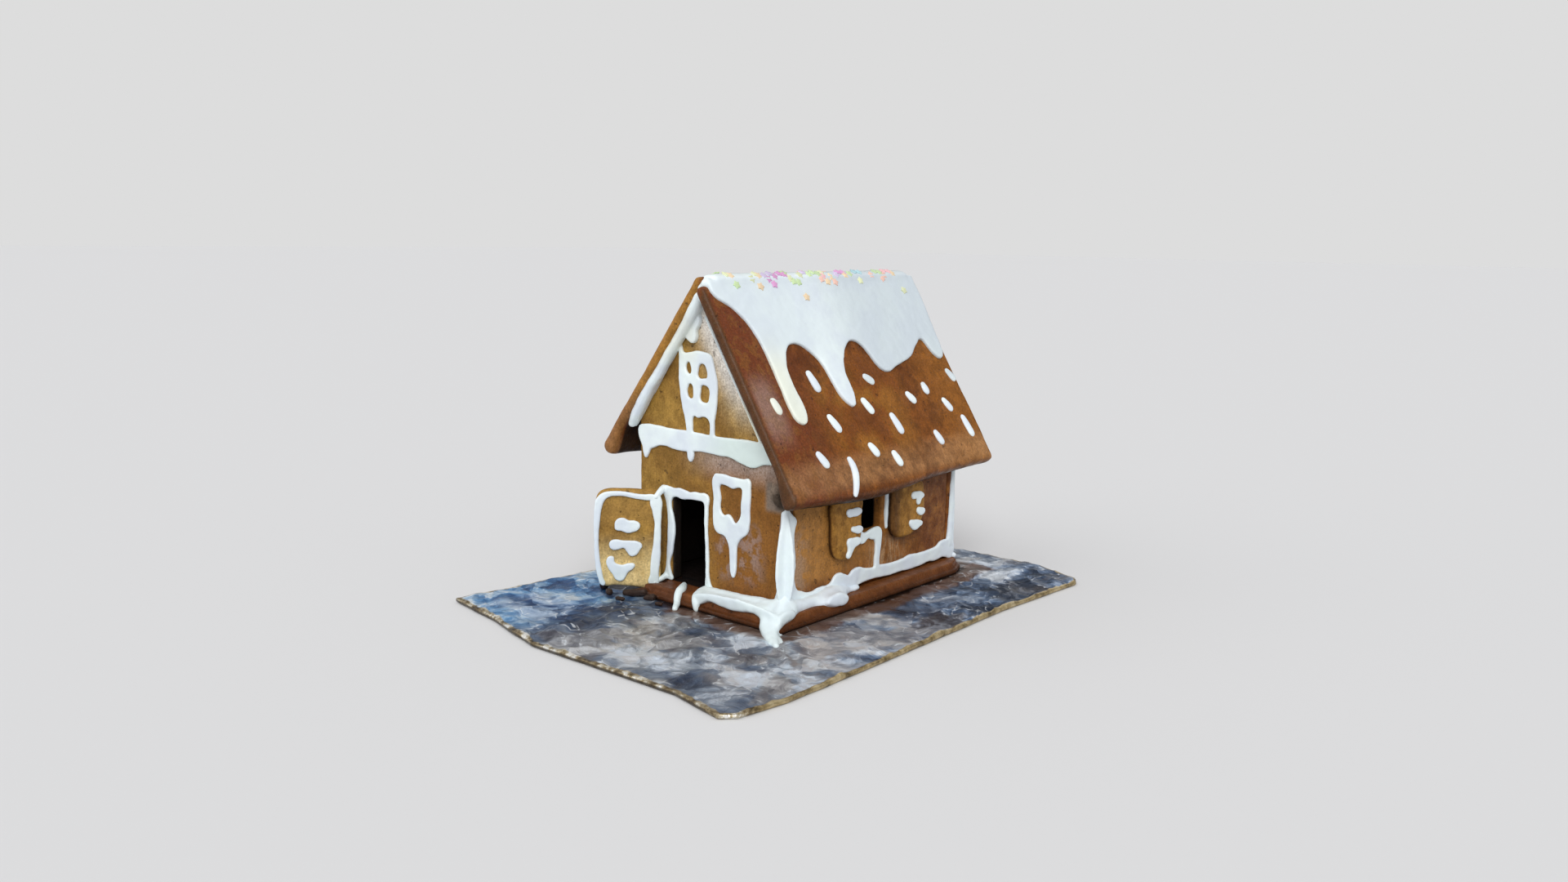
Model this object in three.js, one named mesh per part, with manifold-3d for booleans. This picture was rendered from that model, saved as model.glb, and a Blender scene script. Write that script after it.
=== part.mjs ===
// A gingerbread house with piped icing, standing on its foil-covered cake board.
// Millimetres, +Z up. Shapes are drawn in the house frame: X to the right of the door, Y to the back,
// Z up from the foil, with zero on the foil under the middle of the front wall's outer face.
// The finished group is moved so that its origin is the middle of the board's underside.
import * as THREE from "three";
import { ConvexGeometry } from "three/addons/geometries/ConvexGeometry.js";
import { mergeVertices } from "three/addons/utils/BufferGeometryUtils.js";
import Module from "manifold-3d";

const wasm = await Module();
wasm.setup();

// ---- Driving dimensions -------------------------------------------------------------------------

const GAP = 0.3; // air between pieces that touch
const HALF_WIDTH = 61.3; // middle of the house to a side wall's outer face
const DEPTH = 172; // front wall's outer face to back wall's outer face
const WALL = 8; // thickness of a wall
const EDGE = 2; // rounding that baking leaves on every edge
const CORNER = 2.2; // and on every corner of a wall

const BOARD = { thick: 3.4, relief: 0.9 };
const BOARD_EDGE = [
  [-116.6, -99.7], [-67.8, -106.7], [-17.2, -118.3], [51.7, -115.8], [90.8, -114.7], [128, -122.6],
  [134.6, -115], [138, -85], [138, -30], [135.3, 118], [140.5, 201], [136, 208], [103, 219.5],
  [41, 218], [-30, 221], [-92, 217], [-98, 203], [-108, 2], [-113.6, -67.7],
];

const PLATE = { top: 7.2, right: 72.4, left: 70, front: 17.2, back: 3.5, corner: [[-43, 3], [-38, 0.5], [-33, -6], [-28, -17.2]] };

const RIDGE = 200; // height where the roof's two outer planes meet
// pitch in degrees; slab: thickness; start and reach: distance down the slope to its upper and lower edge;
// front and back: overhang past the gables
const RIGHT_ROOF = { side: 1, pitch: 57.5, slab: 6.8, start: 10, reach: 147.5, front: 13.2, back: 20.5 };
const LEFT_ROOF = { side: -1, pitch: 52.15, slab: 6.3, start: 4, reach: 141.5, front: 9.3, back: 20.5 };

const DOORWAY = { left: -30.5, right: -2.2, top: 61, round: 2 };
const DOOR = { hinge: [-36, -6], angle: 226, foot: 3.5, thick: 6.3, round: 4 };
const WINDOW = { near: 66, far: 95, sill: 41, top: 70, round: 2.5 }; // along a side wall, from the front
const SHUTTER = { thick: 4.6 };

const ICING = 1.7; // thickness of a piped line
const SNOW = 1.8; // thickness of the icing that covers the ridge
const RIDGE_ROUND = 8; // rounding of that icing over the ridge
const SPRINKLE = { reach: 2.5, waist: 1.3, thick: 0.9, hidden: 6 };

const FLOOR = PLATE.top + GAP; // foot of the walls

// ---- Colours ------------------------------------------------------------------------------------

const finish = (color, roughness, metalness = 0) => () =>
  new THREE.MeshStandardMaterial({ color, roughness, metalness });
const goldenBake = finish(0xa87840, 0.65);
const redBake = finish(0x8f5a30, 0.5);
const whiteIcing = finish(0xe8edf2, 0.35);
const foil = finish(0x9aa3b0, 0.25, 0.9);

// ---- Solids -------------------------------------------------------------------------------------

// A closed geometry as a manifold solid.
function solid(geometry) {
  const bare = geometry.clone();
  bare.deleteAttribute("normal");
  bare.deleteAttribute("uv");
  const merged = mergeVertices(bare, 1e-4);
  return new wasm.Manifold(
    new wasm.Mesh({
      numProp: 3,
      vertProperties: merged.attributes.position.array,
      triVerts: new Uint32Array(merged.index.array),
    }),
  );
}

// A manifold solid as a geometry to draw.
function geometryOf(body) {
  const { vertProperties, triVerts } = body.getMesh();
  const geometry = new THREE.BufferGeometry();
  geometry.setAttribute("position", new THREE.BufferAttribute(vertProperties, 3));
  geometry.setIndex(new THREE.BufferAttribute(triVerts, 1));
  geometry.computeVertexNormals();
  return geometry;
}

const join = (bodies) => bodies.reduce((all, body) => all.add(body));

// A baked slab: an outline with holes, drawn flat, with rounded edges. It fills local z from 0 to thick.
// spread makes it that much larger on every side, to cut a clearance in what lies against it.
function cookie(outline, thick, { edge = EDGE, spread = 0, steps = 1 } = {}) {
  const geometry = new THREE.ExtrudeGeometry(outline, {
    depth: thick - 2 * edge,
    bevelThickness: edge + spread,
    bevelSize: edge + spread,
    bevelOffset: -edge,
    bevelSegments: steps,
    curveSegments: 3,
  });
  return geometry.translate(0, 0, edge);
}

// A closed outline through corner points; radius is the tightest curve at each corner.
function roundedOutline(corners, radius) {
  const shape = new THREE.Shape();
  corners.forEach((corner, i) => {
    const here = new THREE.Vector2(...corner);
    const before = new THREE.Vector2(...corners.at(i - 1)).sub(here);
    const after = new THREE.Vector2(...corners[(i + 1) % corners.length]).sub(here);
    const half = Math.acos(before.dot(after) / (before.length() * after.length())) / 2;
    const cut = (radius * Math.cos(half)) / Math.sin(half) ** 2;
    const start = here.clone().add(before.setLength(Math.min(cut, before.length() / 2)));
    const end = here.clone().add(after.setLength(Math.min(cut, after.length() / 2)));
    if (i === 0) shape.moveTo(start.x, start.y);
    else shape.lineTo(start.x, start.y);
    shape.quadraticCurveTo(here.x, here.y, end.x, end.y);
  });
  shape.closePath();
  return shape;
}

const rectangle = (left, bottom, right, top) => [[left, bottom], [right, bottom], [right, top], [left, top]];

// One stretch of icing on a face: the hull of two discs [u, v, radius], sloped in a little at the top.
// It is sunk into the face that it lies on, so that the two join.
function dabHull(a, b, height, sink) {
  const corners = [];
  for (const [u, v, radius] of [a, b]) {
    const sides = radius > 3.4 ? 8 : radius > 1.9 ? 6 : 5;
    const top = Math.max(radius - 0.4 * height, 0.5 * radius);
    for (let i = 0; i < sides; i++) {
      const angle = (2 * Math.PI * (i + 0.5)) / sides;
      const [c, s] = [Math.cos(angle), Math.sin(angle)];
      corners.push(new THREE.Vector3(u + radius * c, v + radius * s, -sink));
      corners.push(new THREE.Vector3(u + top * c, v + top * s, height));
    }
  }
  return solid(new ConvexGeometry(corners));
}

// Lines of icing on a face, each a list of [u, v, radius] along the way the icing was piped.
function piped(lines, { height = ICING, sink = 0.5 } = {}) {
  return join(lines.flatMap((line) => line.slice(1).map((to, i) => dabHull(line[i], to, height, sink))));
}

// A free bead of icing through points [x, y, z, radius]; flat squeezes it along Y.
function bead(points, flat = 1) {
  const ball = new THREE.OctahedronGeometry(1, 1).attributes.position;
  const hulls = points.slice(1).map((point, i) => {
    const corners = [];
    for (const [x, y, z, radius] of [points[i], point]) {
      for (let k = 0; k < ball.count; k++) {
        const offset = new THREE.Vector3().fromBufferAttribute(ball, k).multiplyScalar(radius);
        corners.push(new THREE.Vector3(x + offset.x, y + flat * offset.y, z + offset.z));
      }
    }
    return solid(new ConvexGeometry(corners));
  });
  return join(hulls);
}

// ---- Faces that shapes are drawn on: local x, y and z as directions, and the origin ------------------

const X = new THREE.Vector3(1, 0, 0);
const Y = new THREE.Vector3(0, 1, 0);
const Z = new THREE.Vector3(0, 0, 1);

const frameOf = (u, v, origin) =>
  new THREE.Matrix4().makeBasis(u, v, u.clone().cross(v)).setPosition(...origin);

// A drawn solid placed on a face.
const placed = (body, matrix) => body.transform(matrix.elements);

const minus = (v) => v.clone().negate();
const FRONT_FACE = frameOf(X, Z, [0, 0, 0]);
const BACK_FACE = frameOf(minus(X), Z, [0, DEPTH, 0]);
const RIGHT_FACE = frameOf(Y, Z, [HALF_WIDTH, 0, 0]);
const LEFT_FACE = frameOf(minus(Y), Z, [-HALF_WIDTH, 0, 0]);

const radians = THREE.MathUtils.degToRad;

// Slope directions of one side of the roof, and the frame of its outer face: along Y, then up the slope
// from the eave.
function slopeOf(roof) {
  const angle = radians(roof.pitch);
  const down = new THREE.Vector3(roof.side * Math.cos(angle), 0, -Math.sin(angle));
  const out = new THREE.Vector3(roof.side * Math.sin(angle), 0, Math.cos(angle));
  const eave = new THREE.Vector3(0, 0, RIDGE).addScaledVector(down, roof.reach);
  const along = new THREE.Vector3(0, roof.side, 0);
  return { angle, down, out, face: frameOf(along, minus(down), eave.toArray()) };
}
const RIGHT_SLOPE = slopeOf(RIGHT_ROOF);
const LEFT_SLOPE = slopeOf(LEFT_ROOF);

// Height of the underside of a roof slab, less the gap, at a distance from the middle of the house.
const underRoof = (roof, slope, distance) =>
  RIDGE - (roof.slab + GAP) / Math.cos(slope.angle) - Math.tan(slope.angle) * distance;

// Turns a drawing of a right-hand face round for a left-hand one.
const mirrored = (lines) => lines.map((line) => line.map(([u, v, r]) => [-u, v, r]));
const shifted = (lines, by) => lines.map((line) => line.map(([u, v, r]) => [u + by, v, r]));

// ---- Piping: each line as [across, up, radius] -----------------------------------------------------

const BAND = [
  [[-57, 96.5, 4.3], [-42, 97.3, 5.8], [-28, 96.6, 6], [-11, 97, 5.6], [11, 96.7, 5.4], [24, 96, 6.2]],
  [[24, 96, 6.2], [34, 95.3, 7.2], [46, 97, 6], [56.5, 96, 4.5]],
  [[-54.7, 92, 3], [-54.7, 84, 1.4]],
];
const GABLE_WINDOW = [
  [[-22.3, 152, 1.2], [-21.8, 146, 2.4], [-21.5, 133, 2.6], [-20.3, 122, 2.6], [-18, 113, 2.2]],
  [[-18, 113, 2.2], [-16, 100, 1.7], [-14.8, 87, 1.8]],
  [[1.2, 147, 2.3], [3.2, 137, 2.6], [4.4, 129, 2.4], [4.2, 120, 2.4], [2.6, 112, 2], [3, 101.5, 1.6]],
  [[-11.2, 148, 2.3], [-11, 138, 2.1], [-10, 128, 2.3], [-9.3, 119, 3]],
  [[-21, 147.6, 2], [-10, 148.7, 2.9], [1, 147.2, 2.2]],
  [[-21, 134, 1.8], [-11, 133.8, 1.8], [3.6, 133.4, 1.6]],
  [[-19.4, 118.8, 3], [-9, 117.4, 5], [2.8, 117.4, 3.2]],
];
const FRONT_WINDOW = [
  [[31, 76.5, 2.7], [20.5, 76.4, 3.3], [7.8, 77, 2.6], [7.6, 65, 2.6], [8, 53, 3.2]],
  [[31, 76.5, 2.7], [30.7, 63, 2.8], [30, 52, 3.4], [20.5, 47.5, 6.4], [8, 53, 3.2]],
  [[20, 44, 5], [20.4, 36, 2.9], [20.8, 28, 2.5], [21.2, 22, 2.3]],
];
const DOOR_SURROUND = [
  [[-38, 64.4, 2.2], [-33, 64.2, 2.5], [-24, 63.6, 2.9], [-15, 63.2, 2.8], [-4, 63.4, 2.4]],
  [[-33.6, 61, 2.4], [-32.6, 50, 2.2], [-31.8, 40, 2.3], [-32.8, 28, 2.1], [-34, 17, 2.2], [-35, 10.8, 3]],
  [[-2, 62, 1.8], [-1.1, 45, 1.1], [-0.6, 30, 1.1], [0.2, 16, 1.3], [1.2, 10, 2.2]],
];
const BASE_LINE = [[[2, 10.2, 2.4], [20, 9.7, 2], [40, 9.6, 1.9], [52, 11, 3]]];
const SIDE_BASE = [
  [[16.2, 12, 4.2], [25, 11.4, 3.6], [36, 12, 4], [47, 14, 5.6], [58, 13, 4.4], [70, 14.6, 5], [90, 13.4, 4.1]],
  [[90, 13.4, 4.1], [120, 13.4, 4.3], [145, 13.8, 4.4], [154.6, 14.4, 5]],
];
const WINDOW_PIPING = [
  [[97.2, 67, 1.6], [97.2, 50, 1.8], [97.6, 38.5, 1.5]],
  [[70, 36.6, 3], [78, 38.6, 2.4], [86, 39.6, 2.3], [88.4, 37.4, 2.2], [87.8, 27, 2.1], [86, 17, 2.2]],
];
// A seam over a corner of the house: its line on the gable and on the gable's end.
const SEAM_ON_GABLE = [[59, 65, 2.6], [57.6, 50, 3.8], [57, 37, 4.1], [57.5, 25, 3.8], [57, 14.8, 4.8]];
const SEAM_ON_END = [[4, 64, 3], [4.2, 50, 4], [4.6, 34, 4.3], [4.2, 24, 4.2], [5.4, 14, 6]];
const SEAM_ON_BACK_END = [[2.2, 63, 1.8], [3, 45, 2.6], [4, 30, 3.6], [4.6, 18, 4.8], [3.6, 14.8, 4.8]];

// Dashes on the right slab: [along Y, down the slope] from end to end, and the long drip over the eave.
const DASHES = [
  [44.5, 69.6, 46.5, 85.2], [4.4, 84, 5.6, 95.9], [45.9, 98.9, 49, 112.5], [95.3, 75.9, 99.2, 85.1],
  [83.2, 91.6, 86.2, 104.2], [129.7, 91.6, 132.6, 101.8], [150.5, 86.7, 150.9, 96.7],
  [184, 79.3, 186.8, 90.3], [164.9, 99.6, 167.8, 111.2], [104, 104.2, 106.1, 120.2],
  [140.3, 120.6, 142, 132.2], [177, 113.7, 178.6, 131], [71.2, 120.8, 73.4, 131.6],
  [22.5, 120.2, 25, 132.4], [89.7, 128.5, 91.2, 140.4],
];
const DASH_RADIUS = 2.1;
const EAVE_DRIP = [[48, 131, 1.9], [48.4, 138, 2.3], [46.5, 144.6, 1.8]];

// The lower edge of the ridge icing on the right slab, [along Y, down the slope], front to back.
const SNOW_EDGE = [
  [-8.4, 6], [-7, 16], [4.9, 28], [11.4, 39], [14.5, 57], [14.6, 75], [14, 93], [18.4, 103], [25, 101],
  [26.6, 90], [25.6, 77], [29.6, 62], [36, 54], [42, 52.4], [50, 55], [59, 66], [61.5, 80], [66, 93],
  [71.5, 97], [75.6, 91], [76.4, 78], [81.6, 66], [89, 57], [97, 53.4], [105.4, 58], [110.5, 70],
  [119, 77], [132, 74], [150, 68.6], [163, 60], [170.7, 56.6], [175.6, 66], [182, 72.4], [187.4, 68],
  [189.4, 50], [192.4, 32], [191.4, 10],
];
// The left slab has the same edge and dashes, turned end for end.
const turned = (y) => SNOW_EDGE[0][0] + SNOW_EDGE.at(-1)[0] - y;

// Sprinkles on the right slab, [along Y, down the slope].
const SPRINKLES = [
  [9.5, 5.5], [13.9, 12.5], [35.4, 6], [33.9, 13.9], [59.3, 5.6], [45.3, 11], [66.4, 11.4], [78.8, 5],
  [71.2, 22.1], [92, 5.4], [97.6, 10.4], [105.5, 13], [118.4, 5.2], [113, 9.6], [135.5, 5.6],
  [130, 12], [155.9, 5.6], [160, 11.4], [169, 6], [174.9, 20.1],
];

// ---- Pieces -----------------------------------------------------------------------------------------

// The board: a flat underside, and a foil face that is crumpled except where the house stands on it.
function boardSolid() {
  const flatness = (x, y) => {
    const dx = Math.max(Math.abs(x) - 76, 0);
    const dy = Math.max(-34 - y, y - DEPTH - 8, 0);
    return THREE.MathUtils.smoothstep(Math.hypot(dx, dy), 0, 18);
  };
  const crumple = (x, y) =>
    Math.sin(x * 0.11 + 2 * Math.sin(y * 0.05)) * Math.cos(y * 0.09 + 1.4 * Math.sin(x * 0.07));
  const top = new THREE.BoxGeometry(280, 360, BOARD.thick, 9, 12, 1);
  top.translate(12, 48, -BOARD.thick / 2);
  const place = top.attributes.position;
  for (let i = 0; i < place.count; i++) {
    if (place.getZ(i) < -0.1) continue;
    const [x, y] = [place.getX(i), place.getY(i)];
    place.setZ(i, BOARD.relief * flatness(x, y) * (crumple(x, y) - 0.35));
  }
  const blank = new THREE.ExtrudeGeometry(roundedOutline(BOARD_EDGE, 2), {
    depth: BOARD.thick + 4,
    bevelEnabled: false,
    curveSegments: 1,
  });
  return solid(top).intersect(solid(blank.translate(0, 0, -BOARD.thick)));
}

// The plate under the house, with its front left corner broken off.
function plateOutline() {
  const back = DEPTH + PLATE.back;
  const sides = [[PLATE.right, -PLATE.front], [PLATE.right, back], [-PLATE.left, back], [-PLATE.left, 3]];
  return roundedOutline(sides.concat(PLATE.corner), 2.2);
}

// The run of icing that spilled over the threshold, down the plate's edge and along the foil.
function thresholdDrip() {
  const edge = -PLATE.front;
  return bead([
    [-18, -3, PLATE.top + 0.1, 2.2], [-12, -11, PLATE.top + 0.1, 2.8], [-9, edge + 0.5, PLATE.top - 1.2, 2.8],
    [-7, edge - 1, 3, 2.6], [-3, edge - 7, 1.9, 1.5],
  ]);
}

function plateSolid() {
  const plate = solid(cookie(plateOutline(), PLATE.top - GAP)).translate([0, 0, GAP]);
  return plate.add(thresholdDrip());
}

// The gable wall's outline, under both roof slabs, drawn as seen from in front of the house.
function gableCorners() {
  const left = underRoof(LEFT_ROOF, LEFT_SLOPE, HALF_WIDTH);
  const right = underRoof(RIGHT_ROOF, RIGHT_SLOPE, HALF_WIDTH);
  const slopes = [Math.tan(LEFT_SLOPE.angle), Math.tan(RIGHT_SLOPE.angle)];
  const tops = [underRoof(LEFT_ROOF, LEFT_SLOPE, 0), underRoof(RIGHT_ROOF, RIGHT_SLOPE, 0)];
  const apex = (tops[1] - tops[0]) / (slopes[0] + slopes[1]);
  return [
    [HALF_WIDTH, FLOOR], [HALF_WIDTH, right], [apex, tops[0] + slopes[0] * apex], [-HALF_WIDTH, left],
    [-HALF_WIDTH, FLOOR],
  ];
}

const DOORWAY_CORNERS = [
  [DOORWAY.left, FLOOR], [DOORWAY.left, DOORWAY.top], [DOORWAY.right, DOORWAY.top], [DOORWAY.right, FLOOR],
];

// A wall slab behind its outer face.
const wallSolid = (corners, spread = 0) =>
  solid(cookie(roundedOutline(corners, CORNER), WALL, { spread })).translate([0, 0, -WALL]);

// Icing under the roof's overhang: a bead in the angle between the gable and a slab.
function rakeBead(roof, slope, heights, radius, flat, y) {
  const points = heights.map((z, i) => {
    const clear = (radius[i] + GAP) / Math.cos(slope.angle);
    const distance = (underRoof(roof, slope, 0) - clear - z) / Math.tan(slope.angle);
    return [roof.side * distance, y, z, radius[i]];
  });
  return bead(points, flat);
}

// The seams on both ends of a gable, drawn for its right corner.
const cornerSeam = (onGable) => onGable.concat([[[HALF_WIDTH - 0.9, 60, 2], [HALF_WIDTH - 0.9, 14, 2.2]]]);

function frontGable(cuts) {
  const wall = placed(wallSolid(gableCorners().concat(DOORWAY_CORNERS)), FRONT_FACE);
  const lines = [...BAND, ...GABLE_WINDOW, ...FRONT_WINDOW, ...DOOR_SURROUND, ...BASE_LINE];
  const drawn = placed(piped(lines.concat(cornerSeam([SEAM_ON_GABLE]))), FRONT_FACE);
  const ends = [
    placed(piped([SEAM_ON_END]), RIGHT_FACE),
    placed(piped(mirrored([SEAM_ON_END])), LEFT_FACE),
  ];
  const leftRake = rakeBead(
    LEFT_ROOF, LEFT_SLOPE, [181, 166, 148, 122, 110], [2.6, 2.4, 1.7, 1.9, 1.5], 2, -2.6,
  );
  const blob = placed(piped([[[-12, 172, 3.4], [-17, 164, 4.4], [-14.6, 161, 2.6]]]), FRONT_FACE);
  const rightRake = rakeBead(RIGHT_ROOF, RIGHT_SLOPE, [178, 140, 98], [1.3, 1.1, 1.2], 1.6, -0.8);
  const icing = join([drawn, ...ends, leftRake, blob, rightRake]);
  return cuts.reduce((body, cut) => body.subtract(cut), wall.add(icing));
}

function backGable(cuts) {
  const corners = gableCorners().map(([x, z]) => [-x, z]).reverse();
  const wall = placed(wallSolid(corners), BACK_FACE);
  const lines = [...mirrored(BAND), ...GABLE_WINDOW, ...shifted(FRONT_WINDOW, -20)];
  const seams = cornerSeam([SEAM_ON_GABLE]);
  const drawn = placed(piped([...lines, ...seams, ...mirrored(seams)]), BACK_FACE);
  const endRight = placed(piped(mirrored([SEAM_ON_BACK_END])).translate([DEPTH, 0, 0]), RIGHT_FACE);
  const endLeft = placed(piped([SEAM_ON_BACK_END]).translate([-DEPTH, 0, 0]), LEFT_FACE);
  return cuts.reduce((body, cut) => body.subtract(cut), join([wall, drawn, endRight, endLeft]));
}

// A side wall between the gables, with its window. face is its outer face; lines are drawn on it.
function sideWallSolid(roof, slope, spread = 0) {
  const top = underRoof(roof, slope, HALF_WIDTH) - GAP;
  const outline = roundedOutline(rectangle(WALL + GAP, FLOOR, DEPTH - WALL - GAP, top), CORNER);
  const opening = rectangle(WINDOW.near, WINDOW.sill, WINDOW.far, WINDOW.top);
  outline.holes.push(roundedOutline(opening, WINDOW.round));
  return solid(cookie(outline, WALL, { spread })).translate([0, 0, -WALL]);
}

// The left wall is drawn from the back, so its plain slab is turned end for end.
const turnedEnds = (body) => body.mirror([1, 0, 0]);

function rightWall() {
  const wall = sideWallSolid(RIGHT_ROOF, RIGHT_SLOPE);
  return placed(wall.add(piped([...SIDE_BASE, ...WINDOW_PIPING])), RIGHT_FACE);
}

function leftWall() {
  const wall = sideWallSolid(LEFT_ROOF, LEFT_SLOPE);
  return placed(turnedEnds(wall.add(piped([...SIDE_BASE, ...WINDOW_PIPING]))), LEFT_FACE);
}

// One baked roof slab, below its outer face.
function roofSlab(roof, slope, spread = 0) {
  const ends = [-roof.front * roof.side, (DEPTH + roof.back) * roof.side].sort((a, b) => a - b);
  const outline = roundedOutline(rectangle(ends[0], 0, ends[1], roof.reach - roof.start), 6);
  const slab = cookie(outline, roof.slab, { edge: 2.9, spread, steps: 2 });
  return placed(solid(slab).translate([0, 0, -roof.slab]), slope.face);
}

function rightRoof() {
  const fromEave = ([y, s, r]) => [y, RIGHT_ROOF.reach - s, r];
  const dashes = DASHES.map(([y0, s0, y1, s1]) => [
    fromEave([y0, s0 + DASH_RADIUS, DASH_RADIUS]),
    fromEave([y1, s1 - DASH_RADIUS, DASH_RADIUS]),
  ]);
  const icing = piped([...dashes, EAVE_DRIP.map(fromEave)]);
  return roofSlab(RIGHT_ROOF, RIGHT_SLOPE).add(placed(icing, RIGHT_SLOPE.face));
}

function leftRoof() {
  const low = DASHES.filter((dash) => dash[1] > 90 && dash[3] < 135);
  const dashes = low.map(([y0, s0, y1, s1]) => [
    [-turned(y0), LEFT_ROOF.reach - s0 - DASH_RADIUS, DASH_RADIUS],
    [-turned(y1), LEFT_ROOF.reach - s1 + DASH_RADIUS, DASH_RADIUS],
  ]);
  return roofSlab(LEFT_ROOF, LEFT_SLOPE).add(placed(piped(dashes), LEFT_SLOPE.face));
}

// A sheet of icing on a slab, from the ridge down to a drawn edge of [along Y, down the slope].
function snowSheet(roof, slope, edge) {
  const flatEdge = edge.map(([y, s]) => new THREE.Vector2(y * roof.side, roof.reach - s));
  const curve = new THREE.SplineCurve(flatEdge).getPoints(Math.round(1.5 * edge.length));
  const outline = new THREE.Shape(curve);
  const top = roof.reach + 1;
  outline.lineTo(curve.at(-1).x, top);
  outline.lineTo(curve[0].x, top);
  outline.closePath();
  const sunk = 2; // the slab's clearance is cut from this, so that the icing follows the slab's round edges
  const sheet = cookie(outline, SNOW + sunk, { edge: 0.7 }).translate(0, 0, GAP - sunk);
  return placed(solid(sheet), slope.face);
}

// The rounded ridge: half the angle between the icing's two faces, and the axis of its rounding.
const RIDGE_HALF = radians(90) - (LEFT_SLOPE.angle + RIGHT_SLOPE.angle) / 2;
const RIDGE_PEAK = RIDGE + (SNOW + GAP) / Math.sin(RIDGE_HALF);
const RIDGE_LEAN = (LEFT_SLOPE.angle - RIGHT_SLOPE.angle) / 2;
const RIDGE_DROP = RIDGE_ROUND / Math.sin(RIDGE_HALF);
const RIDGE_AXIS = [-Math.sin(RIDGE_LEAN) * RIDGE_DROP, RIDGE_PEAK - Math.cos(RIDGE_LEAN) * RIDGE_DROP];

function ridgeRod(front, back) {
  const rod = new THREE.CylinderGeometry(RIDGE_ROUND, RIDGE_ROUND, back - front, 16);
  return solid(rod.translate(0, (front + back) / 2, 0)).translate([RIDGE_AXIS[0], 0, RIDGE_AXIS[1]]);
}

// What stands above the rounding, from one face's tangent line over the peak to the other's.
function aboveRidge(front, back) {
  const tangent = RIDGE_ROUND / Math.tan(RIDGE_HALF);
  const feet = [RIGHT_SLOPE, LEFT_SLOPE].map((slope) => slope.down.clone().multiplyScalar(tangent));
  const corners = [front - 5, back + 5].flatMap((y) =>
    feet.flatMap(({ x, z }) => [
      new THREE.Vector3(x, y, RIDGE_PEAK + z),
      new THREE.Vector3(x, y, RIDGE_PEAK + 6),
    ]),
  );
  return solid(new ConvexGeometry(corners)).subtract(ridgeRod(front - 6, back + 6));
}

// A star sprinkle, lying on the icing.
function sprinkle(turn) {
  const star = new THREE.Shape();
  for (let i = 0; i < 10; i++) {
    const radius = i % 2 ? SPRINKLE.waist : SPRINKLE.reach;
    const angle = turn + (Math.PI * i) / 5;
    const point = [radius * Math.cos(angle), radius * Math.sin(angle)];
    if (i === 0) star.moveTo(...point);
    else star.lineTo(...point);
  }
  star.closePath();
  return new THREE.ExtrudeGeometry(star, { depth: SPRINKLE.thick + 0.4, bevelEnabled: false });
}

// A repeatable draw between 0 and 1.
function drawer(seed) {
  let state = seed;
  return () => {
    state = (state * 1664525 + 1013904223) % 4294967296;
    return state / 4294967296;
  };
}

function sprinkles() {
  const draw = drawer(7);
  // Near the ridge a sprinkle lies on the rounding, turned by the angle it is past the tangent line.
  const onSlab = (roof, slope, [y, s]) => {
    const tangent = (RIDGE_ROUND - SNOW - GAP) / Math.tan(RIDGE_HALF);
    const lean = Math.max(tangent - s, 0) / RIDGE_ROUND;
    const tilt = new THREE.Matrix4().makeRotationX(-lean);
    const star = solid(sprinkle(draw() * Math.PI));
    const raised = star.translate([0, 0, RIDGE_ROUND - 0.4]).transform(tilt.elements);
    const fromEave = roof.reach - Math.max(s, tangent);
    return placed(raised.translate([y * roof.side, fromEave, SNOW + GAP - RIDGE_ROUND]), slope.face);
  };
  const seen = SPRINKLES.map((at) => onSlab(RIGHT_ROOF, RIGHT_SLOPE, at));
  const hidden = [];
  for (let i = 0; i < SPRINKLE.hidden; i++) {
    const at = [8 + (i + 0.6 * draw()) * 28, 9 + 12 * draw() ** 2];
    hidden.push(onSlab(LEFT_ROOF, LEFT_SLOPE, at));
  }
  return seen.concat(hidden);
}

function roofIcing() {
  const [front, back] = [SNOW_EDGE[0][0], SNOW_EDGE.at(-1)[0]];
  const sheets = [
    snowSheet(RIGHT_ROOF, RIGHT_SLOPE, SNOW_EDGE),
    snowSheet(LEFT_ROOF, LEFT_SLOPE, SNOW_EDGE.map(([y, s]) => [turned(y), s]).reverse()),
  ];
  const cap = join([...sheets, ridgeRod(front + 0.6, back - 0.6)]);
  const rounded = cap.subtract(aboveRidge(front, back));
  const slabs = [
    roofSlab(RIGHT_ROOF, RIGHT_SLOPE, GAP),
    roofSlab(LEFT_ROOF, LEFT_SLOPE, GAP),
    attic(front, back),
  ];
  return slabs.reduce((body, slab) => body.subtract(slab), join([rounded, ...sprinkles()]));
}

// The space under both slabs, which the icing doesn't fill.
function attic(front, back) {
  const outline = new THREE.Shape(gableCorners().map(([x, z]) => new THREE.Vector2(x, z + 3 * GAP)));
  const block = new THREE.ExtrudeGeometry(outline, { depth: back - front + 10, bevelEnabled: false });
  return placed(solid(block), frameOf(X, Z, [0, back + 5, 0]));
}

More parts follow.
